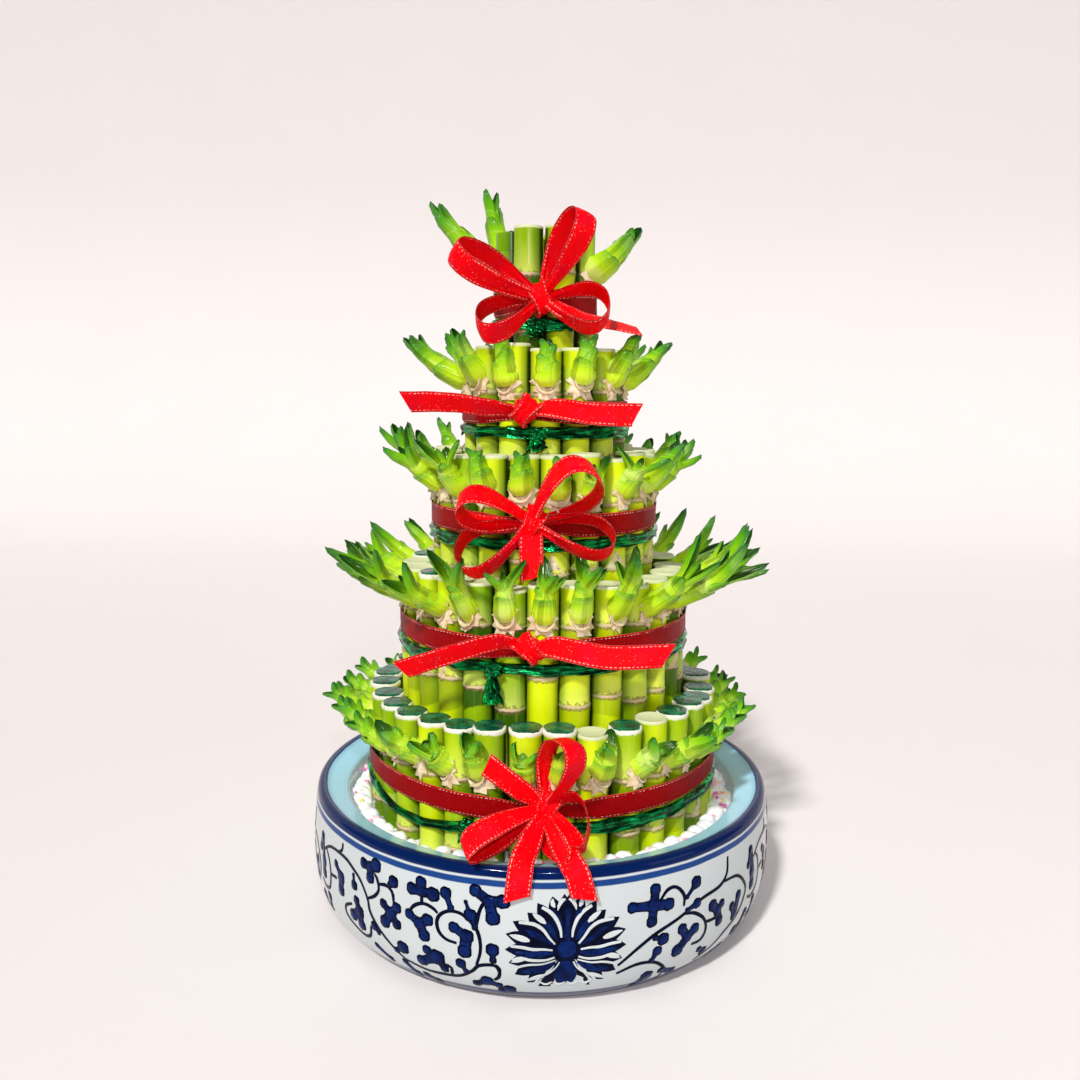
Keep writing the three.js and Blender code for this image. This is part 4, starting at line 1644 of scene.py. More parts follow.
@dataclass(frozen=True)
class Viewpoint:
    """Where the photograph was taken from, and how wide its square frame is in pixels."""

    eye: Triple = (-0.0009, -0.4391, 0.2330)
    pitch: float = 9.0
    yaw: float = 0.09
    roll: float = 0.5
    lens: float = 33.08
    sensor: float = 36
    frame: int = 1080

    def turn(self) -> Matrix:
        """How the camera is turned."""
        turn = Matrix.Rotation(math.radians(self.yaw), 3, "Z")
        turn @= Matrix.Rotation(math.radians(90 - self.pitch), 3, "X")
        return turn @ Matrix.Rotation(math.radians(self.roll), 3, "Z")

    def ray(self, across: float, down: float) -> Vector:
        """The direction in which a pixel of the photograph is seen."""
        half = self.frame / 2
        depth = self.lens / self.sensor * self.frame
        return self.turn() @ Vector((across - half, half - down, -depth))


@dataclass(frozen=True)
class Wall:
    """The bowl's round outer wall, from its foot over its widest ring to the lip."""

    foot: float = 88.5
    widest: float = 103
    widest_height: float = 36
    lip: float = 101.2
    lip_height: float = 57.5

    def radius(self, height: float) -> float:
        """The wall's radius at a height."""
        above = height > self.widest_height
        reach = self.lip_height - self.widest_height if above else self.widest_height
        pull = self.widest - self.lip if above else self.widest - self.foot - 2
        return self.widest - pull * (abs(height - self.widest_height) / reach) ** (2 if above else 3.6)


VIEWPOINT = Viewpoint()
WALL = Wall()


@dataclass(frozen=True)
class View:
    """An enlarged part of the photograph: the pixel at its top left corner, and its zoom."""

    left: float
    top: float
    zoom: float

    def spot(self, x: float, y: float) -> Pair:
        """The place on the bowl's wall seen at a point of the view.

        Args:
            x: pixels from the view's left edge.
            y: pixels from its top edge.

        Returns:
            The degrees from the front and the height, each to a tenth.
        """
        eye = Vector(VIEWPOINT.eye) / MM
        ray = VIEWPOINT.ray(self.left + x / self.zoom, self.top + y / self.zoom)
        spot = Vector((0, 0, WALL.widest_height))
        for _ in range(40):
            radius = WALL.radius(clamp(spot.z, 0, WALL.lip_height))
            a = ray.xy.length_squared
            b = eye.xy.dot(ray.xy)
            c = eye.xy.length_squared - radius**2
            spot = eye + ray * ((-b - math.sqrt(max(0.0, b * b - a * c))) / a)
        return round(math.degrees(math.atan2(spot.x, -spot.y)), 1), round(spot.z, 1)

    def line(self, *points: Pair) -> tuple[Pair, ...]:
        """The places on the wall of a line seen in the view."""
        return tuple(self.spot(x, y) for x, y in points)

    def lobes(self, *lobes: Triple) -> tuple[Triple, ...]:
        """The places on the wall of lobes seen in the view, each with its radius."""
        return tuple((*self.spot(x, y), radius) for x, y, radius in lobes)


LEFT = View(310, 830, 6.672)
RIGHT = View(500, 870, 5.6)


@dataclass
class Bowl:
    """The porcelain bowl: foot ring, round wall, rolled lip, sloping flange and deep well."""

    glaze: Material
    sides: int = 144
    foot_inner: float = 80
    recess: float = 2.5
    floor: float = 6

    def profile(self) -> list[Pair]:
        """The turned outline from under the foot over the lip to the well's floor."""
        foot = [(self.foot_inner, self.recess), (80.3, 1.0), (81, 0.15), (82, 0)]
        foot += [(87.4, 0), (88.3, 0.3), (88.8, 1.2)]
        heights = [2.2, 3, 4.2, 5.5, 7, 9, 11.5, 14.5, 18, 22, 27, 32, 36, 40, 44, 48, 51, 53.5]
        wall = [(WALL.radius(z), z) for z in heights]
        lip = [(101.35, 55.0), (101.1, 56.1), (100.55, 56.95), (99.7, 57.4)]
        lip += [(98.7, 57.5), (97.6, 57.25), (96.7, 56.85)]
        flange = [(94.5, 56.1), (92, 55.2), (90, 54.55), (88.9, 54.1), (88.2, 53.7)]
        flange += [(87.75, 53.0), (87.5, 52.0)]
        well = [(87.1, 44), (86.3, 25), (85.6, 10), (84.6, 7.4), (82.4, 6.1), (60, self.floor)]
        return foot + wall + lip + flange + well

    def build(self) -> Piece:
        """Throws the bowl and sets it in place of its CAD node."""
        rings = [
            [around(-TURN * k / self.sides, radius, height) for k in range(self.sides)]
            for radius, height in self.profile()
        ]
        piece = Stack.shape("porcelain_bowl", rings, self.glaze)
        Bench.finish(piece, "porcelain", ["bowl"], 60)
        return piece


@dataclass
class Painting:
    """Lotus flowers and scrolling vines brushed round the bowl's wall.

    Places are (degrees round from the front, height), and a degree is 1.79 mm of the wall.
    """

    ink: Material
    blue: Material
    white: Material
    repeats: int = 3
    degree: float = 1.79
    lotus: Pair = (5.4, 27.8)
    plump: float = 1.27
    parts: list[Piece] = field(default_factory=list)

    def on_wall(self, turn: float, height: float, lift: float) -> Vector:
        """The point of the wall at degrees from the front and a height, lifted off it."""
        height = clamp(height, 2.6, 53.0)
        return around(math.radians(turn), WALL.radius(height) + lift, height)

    def layer(self, level: int) -> float:
        """How far a layer of paint stands off the wall."""
        return 0.10 + 0.05 * level

    def stroke(
        self, stops: Sequence[Pair], widths: Sequence[float], level: int, material: Material
    ) -> None:
        """One brush stroke along stops, as a thin strip that hugs the wall.

        Args:
            stops: places along the stroke.
            widths: its width in millimetres at each of a few even shares of its length.
            level: how many layers of paint it lies on.
            material: its colour.
        """
        flat = [Vector((turn * self.degree, height, 0)) for turn, height in stops]
        length = sum((b - a).length for a, b in zip(flat, flat[1:]))
        steps = max(3, min(40, round(length / 1.5)))
        top = self.layer(level)
        edge = top * 0.4
        section = ((-1, -0.3), (1, -0.3), (1, edge), (0.75, top), (-0.75, top), (-1, edge))
        rings = []
        for i in range(steps + 1):
            share = i / steps
            spot = curve_through(flat, share)
            ahead = curve_through(flat, share + 0.02) - curve_through(flat, share - 0.02)
            ahead.normalize()
            beside = Vector((-ahead.y, ahead.x, 0))
            place = share * (len(widths) - 1)
            j = min(int(place), len(widths) - 2)
            width = lerp(widths[j], widths[j + 1], place - j)
            ring = []
            for u, lift in section:
                q = spot + beside * (u * width / 2)
                ring.append(self.on_wall(q.x / self.degree, q.y, lift))
            rings.append(ring)
        self.parts.append(Stack.shape("stroke", rings, material))

    def lobe(self, turn: float, height: float, radius: float, level: int, material: Material) -> None:
        """A round touch of the brush."""
        sides = 14
        rings = []
        for lift, scale in ((-0.3, 1.0), (0.04, 1.0), (self.layer(level), 0.8)):
            ring = []
            for k in range(sides):
                right = radius * scale * math.cos(TURN * k / sides) / self.degree
                up = radius * scale * math.sin(TURN * k / sides)
                ring.append(self.on_wall(turn + right, height + up, lift))
            rings.append(ring)
        self.parts.append(Stack.shape("lobe", rings, material))

    def sketch(
        self,
        base: Pair,
        side: int,
        line: Sequence[Pair],
        widths: Sequence[float],
        level: int,
        material: Material,
    ) -> None:
        """A stroke through points in millimetres from the flower's heart, mirrored for side -1.

        Args:
            base: the heart's place.
            side: 1 for the right half of the flower, -1 for the left.
            line: the points, right and up.
            widths: the stroke's width at even shares of its length.
            level: how many layers of paint it lies on.
            material: its colour.
        """
        stops = [(base[0] + side * x / self.degree, base[1] + z) for x, z in line]
        self.stroke(stops, widths, level, material)

    def flower(self, turn: float) -> None:
        """The lotus: dark petals with flamed hearts, waved white veins and pearls at the tips."""
        base = (self.lotus[0] + turn, self.lotus[1])
        for side in (-1, 1):
            for tip, bow, wide in PETALS:
                x, z = tip
                middle = (x * 0.5 + bow * z / 20, z * 0.5 - bow * x / 20)
                line = ((0, 0), middle, (x * 0.8, z * 0.8), tip)
                widths = (2.5, wide * 0.85, wide * 1.05, wide * 1.12, wide, wide * 0.6, 0.3)
                self.sketch(base, side, line, widths, 0, self.ink)
            for line, wide in FLAMES:
                self.sketch(base, side, line, (0.8, wide * 0.8, wide, wide * 0.8, 0.5), 1, self.blue)
            for line, wide in VEINS:
                widths = (wide * 0.55, wide * 0.75, wide, wide, wide * 0.8)
                self.sketch(base, side, line, widths, 3, self.white)
            for line, wide in PEARLS:
                widths = (wide * 0.3, wide * 0.8, wide * 0.86, wide * 0.65, 0.3)
                self.sketch(base, side, line, widths, 3, self.white)
        stalk = ((0, 3), (0.2, 9), (0.3, 14))
        self.sketch(base, 1, (*stalk, (0.4, 16.4)), (3.4, 3.0, 2.6, 4.0, 3.2), 4, self.ink)
        self.sketch(base, 1, (*stalk, (0.4, 15.8)), (2.4, 2.0, 1.6, 2.8, 2.0), 5, self.blue)
        tongue = ((0, -3), (-0.2, -9), (-0.4, -17.2))
        self.sketch(base, 1, tongue, (4.6, 7.5, 10.5, 17, 20), 1, self.ink)
        heart = ((0, -5), (-0.2, -9), (-0.4, -15))
        self.sketch(base, 1, heart, (2.6, 5.5, 7.5, 9, 6), 4, self.blue)
        for x in (-7.5, -2.6, 2.6, 7.5):
            line = ((x - 2.2, -14.6), (x - 0.6, -15.7), (x + 0.6, -15.7), (x + 2.2, -14.6))
            self.sketch(base, 1, line, (0.4, 0.9, 0.9, 0.4), 6, self.white)
        self.lobe(*base, 4.9, 4, self.ink)
        self.lobe(*base, 4.2, 6, self.blue)

    def vines(self, turn: float) -> None:
        """The stems, curls and lobed leaves between two flowers."""
        for stops in VINES:
            self.stroke([(a + turn, z) for a, z in stops], (1.1, 1.55, 1.35, 1.6, 1.1), 1, self.ink)
        for grow, level, material in ((0.3, 2, self.ink), (-0.3, 3, self.blue)):
            for leaf in LEAVES:
                heart = leaf[-1]
                for lobe in leaf:
                    radius = lobe[2] * self.plump + grow
                    self.lobe(lobe[0] + turn, lobe[1], radius, level, material)
                    if lobe is not heart:
                        stops = [(lobe[0] + turn, lobe[1]), (heart[0] + turn, heart[1])]
                        core = heart[2] * self.plump + grow
                        neck = max(0.7, min(radius, core) * 1.55)
                        self.stroke(stops, (radius * 1.5, neck, max(neck, core * 1.5)), level, material)

    def build(self) -> Piece:
        """Paints the pattern as often as it repeats and sets it on the bowl."""
        for i in range(self.repeats):
            turn = 360 / self.repeats * i
            self.flower(turn)
            self.vines(turn)
        piece = Bench.join(self.parts, "brushed_lotus_scroll")
        Bench.finish(piece, "porcelain", [], 60)
        return piece


# The flower's right half, in millimetres right and up from its heart. Petals have a tip, a bow
# and a width, and the rest of the strokes have the points they run through and a width
PETALS = (
    ((1.0, 21.2), 0, 5.0),
    ((5.4, 20.4), -1, 5.4),
    ((10.8, 17.9), 1, 5.2),
    ((14.4, 14.2), 1, 5.4),
    ((19.7, 10.6), 1, 5.4),
    ((22.3, 5.5), 1, 5.4),
    ((22.6, -0.8), 1, 5.2),
    ((21.2, -6.2), 0, 5.2),
    ((19.0, -11.2), -1, 5.6),
    ((14.4, -15.0), -2, 5.2),
)
FLAMES = (
    (((1.6, 4.4), (2.6, 9), (4.0, 13.2), (5.6, 15.4)), 2.6),
    (((3.4, 3.4), (6.6, 8), (9.2, 12)), 3.0),
    (((4.6, 1.6), (9.6, 4.2), (15.0, 7.6)), 3.2),
    (((5.0, -1.8), (11.0, -2.3), (19.0, -1.8)), 3.0),
    (((4.0, -5.6), (9.6, -8.6), (16.4, -10.0)), 3.4),
)
VEINS = (
    (((2.0, 4.6), (2.4, 7.8), (3.8, 11.6), (6.2, 14.6), (9.2, 16.4)), 1.45),
    (((4.4, 1.9), (6.6, 4.6), (8.6, 7.6), (11.4, 9.6), (14.2, 10.2), (17.6, 10.4)), 1.4),
    (((5.2, -0.5), (8.7, -0.1), (12.4, -0.2), (16.4, 0.5), (20.6, 0.7)), 1.25),
    (((4.4, -3.4), (8, -4.6), (13, -4.7), (17, -3.9), (20.0, -5.0)), 1.25),
    (((4.0, -4.6), (9, -6.3), (14, -6.7), (17.8, -7.9), (19.4, -9.6)), 0.95),
    (((2.5, -5.4), (4.1, -8.2), (6.6, -10.2), (9.6, -12.2), (11.8, -15.4)), 1.05),
)
PEARLS = (
    (((0.6, 19.4), (1.8, 18.9), (2.9, 17.3), (3.4, 15.2)), 1.7),
    (((4.6, 16.4), (5.4, 18.0), (5.2, 19.6)), 2.1),
    (((7.8, 10.2), (10.2, 12.2), (12.6, 14.0)), 2.5),
    (((13.6, 3.2), (17.2, 4.2), (21.0, 5.2)), 2.9),
    (((15.2, -4.4), (18.0, -5.0), (20.4, -5.9)), 1.9),
    (((8.0, -11.0), (11.6, -12.6), (15.0, -14.2)), 2.2),
)
# Where the vines run and the leaves' lobes sit, with their radii, the heart of a leaf last:
# read off the two views, and set on the wall where they were moved
VINES = (
    LEFT.line(
        (1270, 960), (1230, 905), (1130, 905), (1080, 940), (1000, 970), (900, 960), (780, 930),
        (640, 860),
    ),
    (
        *LEFT.line(
            (640, 860), (540, 760), (450, 640), (400, 540), (385, 460), (340, 340), (290, 260),
            (230, 180), (140, 110),
        ),
        (-63, 38),
    ),
    LEFT.line(
        (1110, 900), (1135, 820), (1135, 740), (1110, 660), (1060, 600), (1000, 555), (930, 540),
        (870, 560), (845, 610), (860, 680), (910, 730), (980, 755),
    ),
    LEFT.line((1110, 650), (1125, 560), (1150, 500), (1190, 470)),
    LEFT.line((850, 555), (820, 520), (760, 490), (700, 500), (660, 540)),
    LEFT.line((745, 490), (745, 440)),
    LEFT.line((385, 455), (430, 440), (460, 400), (450, 330), (430, 290)),
    LEFT.line((455, 360), (510, 370), (550, 420), (560, 490)),
    LEFT.line((535, 380), (560, 340)),
    (*LEFT.line((110, 110), (130, 200), (140, 300), (135, 380), (110, 370)), (-64.1, 24.5)),
    LEFT.line((140, 290), (180, 320)),
    (
        *LEFT.line((410, 640), (405, 700), (370, 700)),
        (-46.9, 17.1),
        *LEFT.line((250, 560), (240, 500), (280, 490)),
    ),
    LEFT.line((950, 960), (945, 920), (900, 895)),
    LEFT.line((1230, 900), (1265, 930), (1260, 980), (1230, 1000)),
    ((-51.1, 49.5), *LEFT.line((215, 130), (190, 150))),
    (*RIGHT.line((650, 580), (760, 530), (850, 515), (900, 530)), (28.8, 9.5), (27.8, 5.0)),
    (
        *RIGHT.line((660, 535), (760, 450), (870, 360), (1000, 270), (1130, 160), (1230, 90)),
        (45.6, 42.1), (46.1, 48.8),
    ),
    RIGHT.line((1030, 245), (1090, 240), (1140, 270), (1150, 330), (1120, 390), (1070, 415)),
    RIGHT.line((900, 170), (940, 110), (990, 95), (1030, 140), (1030, 200)),
    RIGHT.line((1150, 290), (1190, 275), (1225, 250)),
    (
        (44.5, 39.5), (50.3, 38.0), (54.2, 31.1), (53.7, 25.7), (50.9, 19.9), (46.8, 16.2),
        (42.8, 11.4), (38, 8),
    ),
)
LEAVES = (
    LEFT.lobes((740, 350, 1.9), (680, 390, 1.9), (820, 430, 2.2), (750, 410, 1.8)),
    LEFT.lobes((940, 520, 1.0), (905, 420, 1.8)),
    LEFT.lobes((1040, 480, 0.5), (1100, 650, 0.9), (1070, 570, 2.0)),
    ((-13.6, 48.8, 1.8), *LEFT.lobes((1290, 480, 2.1), (1220, 590, 2.2)), (-10.6, 45.2, 2.0)),
    (*LEFT.lobes((960, 650, 1.7), (1030, 810, 2.2)), (-15.4, 30.4, 2.2)),
    (*LEFT.lobes((665, 560, 1.6), (785, 600, 1.9)), (-25.2, 27.0, 2.0), (-26.3, 31.3, 2.0)),
    LEFT.lobes((490, 490, 1.5), (580, 520, 1.7), (500, 610, 2.0), (580, 630, 1.7), (540, 560, 2.2)),
    (*LEFT.lobes((360, 220, 1.7)), (-38.5, 48.2, 2.2), (-40.2, 42.3, 1.8), (-40.2, 46.4, 1.9)),
    (*LEFT.lobes((555, 345, 1.9)), (-34.2, 42.9, 0.9)),
    ((-54.1, 38.7, 1.3), *LEFT.lobes((210, 400, 2.0)), (-51.7, 34.6, 2.3)),
    ((-62.2, 34.9, 1.8), *LEFT.lobes((100, 280, 2.0))),
    (*LEFT.lobes((310, 470, 1.5)), (-46.8, 22.0, 1.9), (-43.8, 19.8, 1.9), (-44.2, 25.3, 2.2)),
    (*LEFT.lobes((290, 300, 0.6)), (-45.9, 35.4, 1.6)),
    (*LEFT.lobes((580, 800, 1.0)), (-31.1, 18.4, 2.2)),
    (*LEFT.lobes((780, 800, 1.5), (750, 870, 1.9)), (-20.9, 14.2, 1.4), (-22.4, 18.8, 2.7)),
    LEFT.lobes((1040, 940, 0.8), (1005, 890, 1.6)),
    LEFT.lobes((1220, 870, 1.0), (1215, 800, 2.0)),
    ((-13.9, 9.4, 1.3), (-8.9, 9.8, 1.2), (-11.4, 11.6, 2.0)),
    (*LEFT.lobes((430, 640, 1.5)), (-38.0, 20.4, 0.7)),
    (*LEFT.lobes((450, 770, 1.1)), (-36.4, 8.8, 1.3)),
    (*LEFT.lobes((640, 880, 1.2)), (-29.4, 5.6, 1.8)),
    ((-26.6, 7.0, 1.3), (-24.0, 4.7, 1.6)),
    ((-8.3, 6.2, 1.5), (-6.7, 7.4, 2.2)),
    (
        *RIGHT.lobes((870, 110, 1.8)),
        (28.0, 39.3, 2.0),
        *RIGHT.lobes((850, 290, 1.8)),
        (19.4, 41.1, 1.7), (24.3, 40.3, 2.3),
    ),
    (*RIGHT.lobes((1050, 150, 0.7)), (35.5, 44.4, 2.0)),
    (*RIGHT.lobes((1050, 225, 0.8)), (35.8, 35.8, 1.6)),
    (*RIGHT.lobes((1020, 330, 1.7)), (35.4, 25.4, 1.8), (31.0, 18.4, 2.2), (33.3, 22.9, 1.9)),
    (*RIGHT.lobes((870, 380, 0.9)), (26.9, 25.6, 2.0)),
    ((24.4, 17.2, 0.9), (25.6, 21.0, 1.6)),
    ((21.9, 4.4, 1.5), (24.3, 9.2, 2.2)),
    (*RIGHT.lobes((900, 560, 1.2)), (31.4, 7.4, 1.6)),
    ((40.8, 31.8, 1.9), (44.0, 30.6, 1.4), (43.4, 23.6, 1.8), (42.6, 28.6, 1.9)),
    ((39.8, 11.9, 1.6), (38.0, 14.2, 1.0)),
    ((50.9, 29.2, 1.7), (48.2, 26.4, 1.4), (49.6, 21.6, 1.9)),
    ((55.8, 38.8, 1.4), (58.3, 33.8, 1.8), (57.0, 44.0, 1.7)),
    ((52.0, 12.2, 1.8), (56.0, 17.0, 1.8), (55.0, 8.4, 1.6), (54.6, 12.2, 2.0)),
    ((59.5, 14.0, 1.5), (60.5, 20.0, 1.6)),
    ((45.0, 5.4, 1.6), (48.0, 7.4, 1.2)),
)


@dataclass
class PebbleBed:
    """White pebbles packed between the canes and the bowl, with a few coloured chips."""

    stone: Material
    chip: Material
    inner: float = 78.6
    outer: float = 86.6
    level: float = 44.6
    per_row: int = 66

    def master(self) -> bpy.types.Mesh:
        """One pebble: a cube divided and rounded."""
        Bench.clear()
        bpy.ops.mesh.primitive_cube_add(size=2)
        cube = bpy.context.object
        bpy.ops.object.mode_set(mode="EDIT")
        bpy.ops.mesh.select_all(action="SELECT")
        bpy.ops.mesh.subdivide(number_cuts=2)
        bpy.ops.transform.tosphere(value=1)
        bpy.ops.object.mode_set(mode="OBJECT")
        mesh = cube.data
        for vertex in mesh.vertices:
            vertex.co.normalize()
        bpy.data.objects.remove(cube)
        return mesh

    def stones(
        self,
        name: str,
        count: int,
        sizes: Pair,
        salt: int,
        layer: Callable[[int], Vector],
        material: Material,
    ) -> Piece:
        """So many stones, each a turned and stretched copy of the master.

        Args:
            name: the name of the piece.
            count: how many stones.
            sizes: the least and the greatest radius.
            salt: tells this set's draws from another's.
            layer: where each stone lies.
            material: their finish.

        Returns:
            The stones joined into one piece.
        """
        master = self.master()
        heap = bmesh.new()
        hue = heap.verts.layers.float.new("hue")
        for i in range(count):
            size = lerp(*sizes, scatter(9, i, salt) + 0.5)
            turned = Matrix.Rotation(TURN * scatter(9, i, salt + 1), 4, "X")
            turned = turned @ Matrix.Rotation(TURN * scatter(9, i, salt + 2), 4, "Z")
            shape = Matrix.Diagonal((size, size * 0.82, size * 0.7, 1))
            lie = Matrix.Translation(layer(i)) @ turned @ shape
            start = len(heap.verts)
            heap.from_mesh(master)
            heap.verts.ensure_lookup_table()
            for vertex in heap.verts[start:]:
                vertex[hue] = scatter(9, i, salt + 3) + 0.5
                bulge = 1 + 0.12 * noise(vertex.co * 1.3 + Vector((i, 0, 0)))
                vertex.co = lie @ (vertex.co * bulge)
        mesh = bpy.data.meshes.new(name)
        heap.to_mesh(mesh)
        heap.free()
        return Bench.place(name, mesh, material)

    def bed(self) -> Piece:
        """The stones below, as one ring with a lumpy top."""
        sides = 160
        rings = []
        profile = ((86.6, 41.0), (78.0, 41.0), (78.0, 45.0), (80.5, 46.4), (83.5, 46.4), (86.6, 45.4))
        for radius, height in profile:
            ring = []
            for k in range(sides):
                lump = 0.9 * noise(around(TURN * k / sides, radius * 0.25, 0)) if height > 42 else 0
                ring.append(around(TURN * k / sides, radius, height + lump))
            rings.append(ring)
        return Stack.shape("bed", rings, self.stone, {"hue": lambda ring, k: 0.4})

    def build(self) -> list[Piece]:
        """Lays the pebbles and chips in place of the CAD bed."""

        def packed(i: int) -> Vector:
            """Four rows round the bowl, the upper two in the gaps of the lower."""
            row = i % 4
            turn = TURN * ((i // 4) + 0.5 * (row % 2) + 0.5 * scatter(9, i, 80)) / self.per_row
            radius = (self.inner + 3.2, self.outer - 3.4, self.inner + 4.6, self.outer - 5.0)[row]
            height = self.level + (-1.2, -0.6, 2.6, 3.4)[row] + 1.6 * scatter(9, i, 81)
            return around(turn, radius + 1.6 * scatter(9, i, 82), height)

        def strewn(i: int) -> Vector:
            """Chips on top, in clusters."""
            turn = TURN * scatter(9, i // 3, 84) + 0.16 * scatter(9, i, 85)
            radius = lerp(self.inner + 1, self.outer - 1.5, scatter(9, i, 86) + 0.5)
            return around(turn, radius, self.level + 5.4 + 1.6 * scatter(9, i, 87))

        pebbles = self.stones("white_pebbles", self.per_row * 4, (3.6, 4.9), 70, packed, self.stone)
        Bench.join([pebbles, self.bed()], "white_pebbles")
        Bench.finish(pebbles, "pebbles", ["pebble_bed"], 70)
        chips = self.stones("coloured_chips", 230, (0.7, 1.5), 74, strewn, self.chip)
        Bench.finish(chips, "pebbles", [], 70)
        return [pebbles, chips]


# The studio


@dataclass
class Studio:
    """A pale floor that curves up behind, soft lights and the camera of the photograph."""

    sweep: float = 0.6
    middle: float = 0.15

    def floor(self) -> None:
        """A broad floor swept up in an arc into the wall behind."""
        Bench.clear()
        bpy.ops.mesh.primitive_plane_add(size=1)
        plane = bpy.context.object
        plane.name = "pale_sweep"
        bpy.ops.object.mode_set(mode="EDIT")
        bpy.ops.mesh.select_all(action="SELECT")
        bpy.ops.transform.resize(value=(8, 3.4, 1))
        bpy.ops.transform.translate(value=(0, -0.8, 0))
        sheet = bmesh.from_edit_mesh(plane.data)
        for part in (*sheet.verts, *sheet.edges, *sheet.faces):
            part.select = False
        far = max(sheet.edges, key=lambda edge: sum(v.co.y for v in edge.verts))
        far.select = True
        bmesh.update_edit_mesh(plane.data)
        steps = 16
        for i in range(steps):
            rise = math.pi / 2 * (i + 0.5) / steps
            run = self.sweep * math.pi / 2 / steps
            move = (0, run * math.cos(rise), run * math.sin(rise))
            bpy.ops.mesh.extrude_region_move(TRANSFORM_OT_translate={"value": move})
        bpy.ops.mesh.extrude_region_move(TRANSFORM_OT_translate={"value": (0, 0, 2.5)})
        bpy.ops.object.mode_set(mode="OBJECT")
        bpy.ops.object.shade_smooth()
        plane.data.materials.append(PaleFloor().material())

    def lamp(
        self, name: str, kind: str, place: Triple, power: float, colour: Colour
    ) -> bpy.types.Light:
        """A lamp at a place, turned to the middle of the tower."""
        lamp = bpy.data.lights.new(name, kind)
        lamp.energy = power
        lamp.color = colour
        holder = bpy.data.objects.new(name, lamp)
        bpy.context.scene.collection.objects.link(holder)
        holder.location = place
        aim = Vector((0, 0, self.middle)) - Vector(place)
        holder.rotation_euler = aim.to_track_quat("-Z", "Y").to_euler()
        return lamp

    def sky(self, tree: bpy.types.NodeTree) -> None:
        """A sky that is as pale as the floor where it is seen, and dim as a light."""
        dim = tree.nodes["Background"]
        seen = tree.nodes.new("ShaderNodeBackground")
        rays = tree.nodes.new("ShaderNodeLightPath")
        mix = tree.nodes.new("ShaderNodeMixShader")
        dim.inputs["Color"].default_value = (1.0, 0.97, 0.96, 1)
        dim.inputs["Strength"].default_value = 0.13
        seen.inputs["Color"].default_value = (0.89, 0.83, 0.82, 1)
        seen.inputs["Strength"].default_value = 1.0
        tree.links.new(rays.outputs["Is Camera Ray"], mix.inputs[0])
        tree.links.new(dim.outputs[0], mix.inputs[1])
        tree.links.new(seen.outputs[0], mix.inputs[2])
        tree.links.new(mix.outputs[0], tree.nodes["World Output"].inputs[0])

    def camera(self) -> None:
        """The camera at the photograph's height, distance and slope."""
        lens = bpy.data.cameras.new("camera")
        lens.lens = VIEWPOINT.lens
        lens.sensor_width = VIEWPOINT.sensor
        lens.sensor_height = VIEWPOINT.sensor
        lens.sensor_fit = "HORIZONTAL"
        lens.clip_start = 0.01
        camera = bpy.data.objects.new("camera", lens)
        bpy.context.scene.collection.objects.link(camera)
        camera.matrix_world = Matrix.Translation(VIEWPOINT.eye) @ VIEWPOINT.turn().to_4x4()
        bpy.context.scene.camera = camera

    def build(self) -> None:
        """Sets up the floor, the sky, the lights and the camera."""
        scene = bpy.context.scene
        scene.world = scene.world or bpy.data.worlds.new("sky")
        scene.world.use_nodes = True
        self.sky(scene.world.node_tree)
        scene.view_settings.view_transform = "Standard"
        self.floor()
        key = self.lamp("key", "SUN", (-0.36, -0.80, 1.07), 2.9, (1.0, 0.985, 0.96))
        key.angle = math.radians(5)
        self.lamp("flash", "AREA", (0.04, -0.62, 0.40), 1.2, (1.0, 1.0, 1.0)).size = 0.035
        self.lamp("fill", "AREA", (0.80, -0.45, 0.35), 0.5, (0.95, 0.97, 1.0)).size = 0.4
        self.camera()


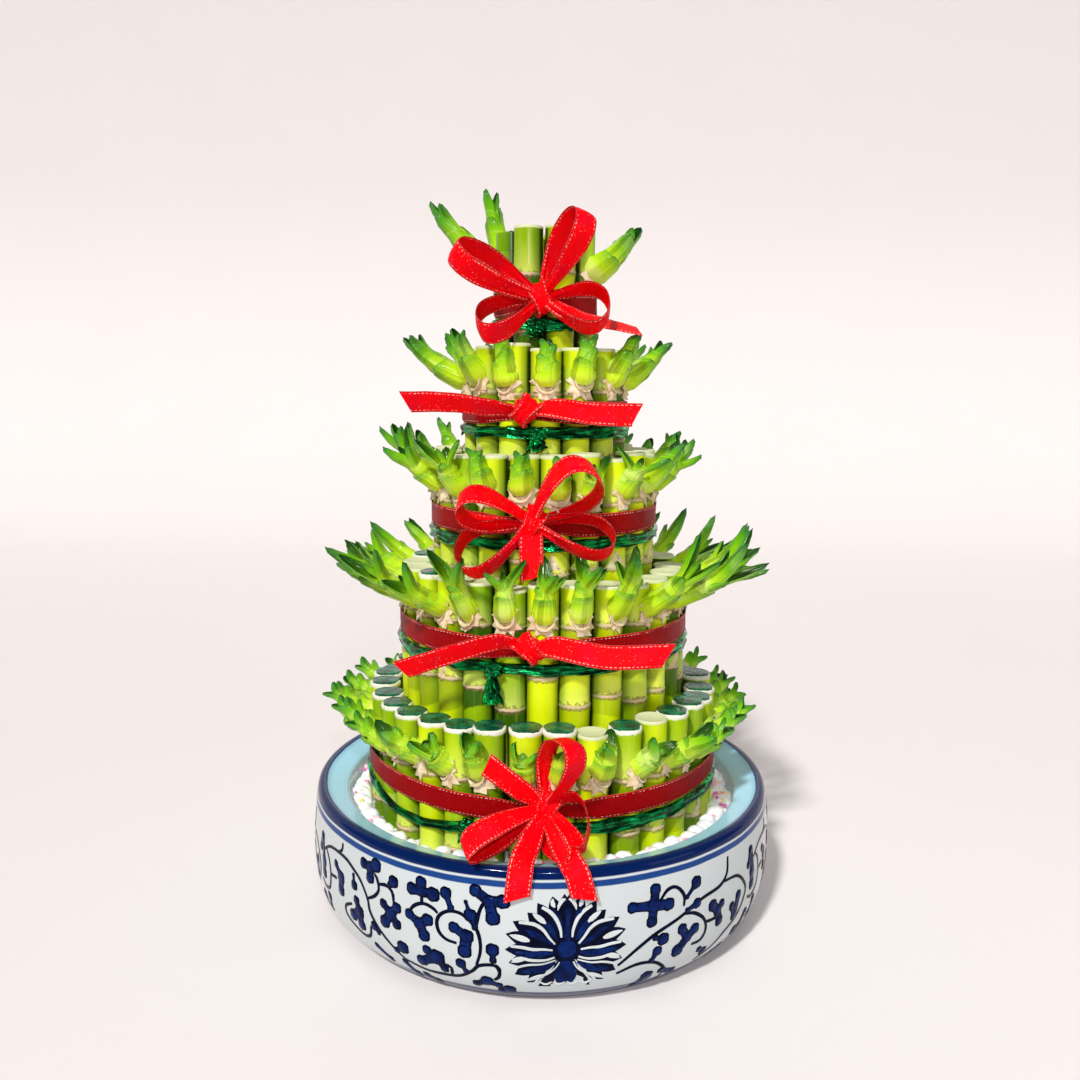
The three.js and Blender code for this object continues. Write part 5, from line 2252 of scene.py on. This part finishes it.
# For each tier's ribbon, the knot's place (right, up), its loops and its tails
RIBBONS = (
    ((1.3, 73), (
        Loop((8, 4, 31), -10, 13), Loop((-29, 10, -9), -11, 13), Loop((16, 6, -3), -14, 12),
        Loop((9, 10, -13), 11, 9),
    ), (
        Tail(((-11, 4, 10), (-22, 5, 19)), (70, 80), 3),
        Tail(((-4, 9, -6), (-8, 19, -11.5), (-9, 22.6, -16), (-10, 23, -25)), (75, 88), 4),
        Tail(((4, 9, -6), (9, 19, -11.5), (12, 22.2, -16), (14.5, 22.4, -25)), (75, 88), -4),
    )),
    ((-5, 131.5), (), (
        Tail(((-12, 2, 3), (-30, 2, -2), (-50, 0, -9)), (50, 66), 3),
        Tail(((10, 2, 1), (30, 1, -3), (54, -2, -3)), (40, 84), -6),
    )),
    ((-5, 178.5), (
        Loop((-28, 5, 9), -13, 12), Loop((24, 6, 22), 18, 13), Loop((-28, 3, -14), 14, 13),
        Loop((32, 4.5, -6), -12, 10.5),
    ), (Tail(((0, 5, -8), (0.5, 7, -21)), (80, 84), 2),)),
    ((-8, 222), (), (
        Tail(((-14, 2, 1), (-30, 2, 3), (-48, 0, 3)), (40, 62), 4),
        Tail(((12, 2, 1), (28, 2, -1), (45, 0, -1.5)), (40, 80), -5),
    )),
    ((-2, 267), (
        Loop((-34, 6, 18), 9, 14), Loop((16, 6, 32), -8, 14), Loop((27, 6, -6), -16, 11),
        Loop((-25, 8, -12), 12, 12),
    ), (Tail(((14, 5, -7), (40, 4, -13)), (50, 20), 2),)),
)
# For each tier's foil, the angle of its knot and how far its ends hang
FOILS = ((-21, 4), (-17, 10), (150, 4), (-4, 3), (-10, 1))
PEBBLE_HUES = ((0.0, (0.80, 0.82, 0.88)), (0.5, (0.88, 0.88, 0.90)), (1.0, (0.92, 0.90, 0.88)))
CHIP_HUES = (
    (0.0, (0.75, 0.12, 0.40)),
    (0.35, (0.85, 0.40, 0.60)),
    (0.6, (0.90, 0.78, 0.25)),
    (1.0, (0.90, 0.55, 0.70)),
)


def core(finishes: dict[str, Material]) -> None:
    """The cane in the middle that the top tier is tied round."""
    cane = Cane(bundle=0, index=9, angle=0.0, radius=6.7, top=295)
    tier = Tier(
        4, bundles=1, each=1, turn=0, ring=0.001, cane=6.8, top=cane.top,
        band_top=TIERS[-1].band_top,
    )
    piece = Bundle(tier, [cane], finishes).stem(cane)
    piece.name = "core_stalk"
    Bench.finish(piece, "cane", ["core_cane"], 55)


def main() -> None:
    """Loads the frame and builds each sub-assembly in order."""
    logging.basicConfig(level=logging.INFO, format="%(message)s")
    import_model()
    Studio().build()
    Bowl(Porcelain().material()).build()
    Painting(INK.material(), COBALT.material(), BARE.material()).build()
    stone = RiverStone("white_stone", PEBBLE_HUES).material()
    chip = RiverStone("coloured_chip", CHIP_HUES, 0.35).material()
    PebbleBed(stone, chip).build()
    finishes = {
        "cane": CaneSkin().material(),
        "sheath": SheathSkin().material(),
        "young": YOUNG_SKIN.material(),
        "husk": HuskPaper().material(),
        "wax": SealingWax().material(),
    }
    satin = Satin().material()
    foil = GreenFoil().material()
    for tier in TIERS:
        canes = tier.canes()
        for number in range(tier.bundles):
            Bundle(tier, [cane for cane in canes if cane.bundle == number], finishes).build(number)
        knot, loops, tails = RIBBONS[tier.rank]
        Ribbon(tier, knot, loops, tails, satin).build()
        angle, hang = FOILS[tier.rank]
        FoilTie(tier, angle, hang, foil, 1.0 if tier.rank == 0 else 0.0).build()
    core(finishes)


if __name__ == "__main__":
    main()
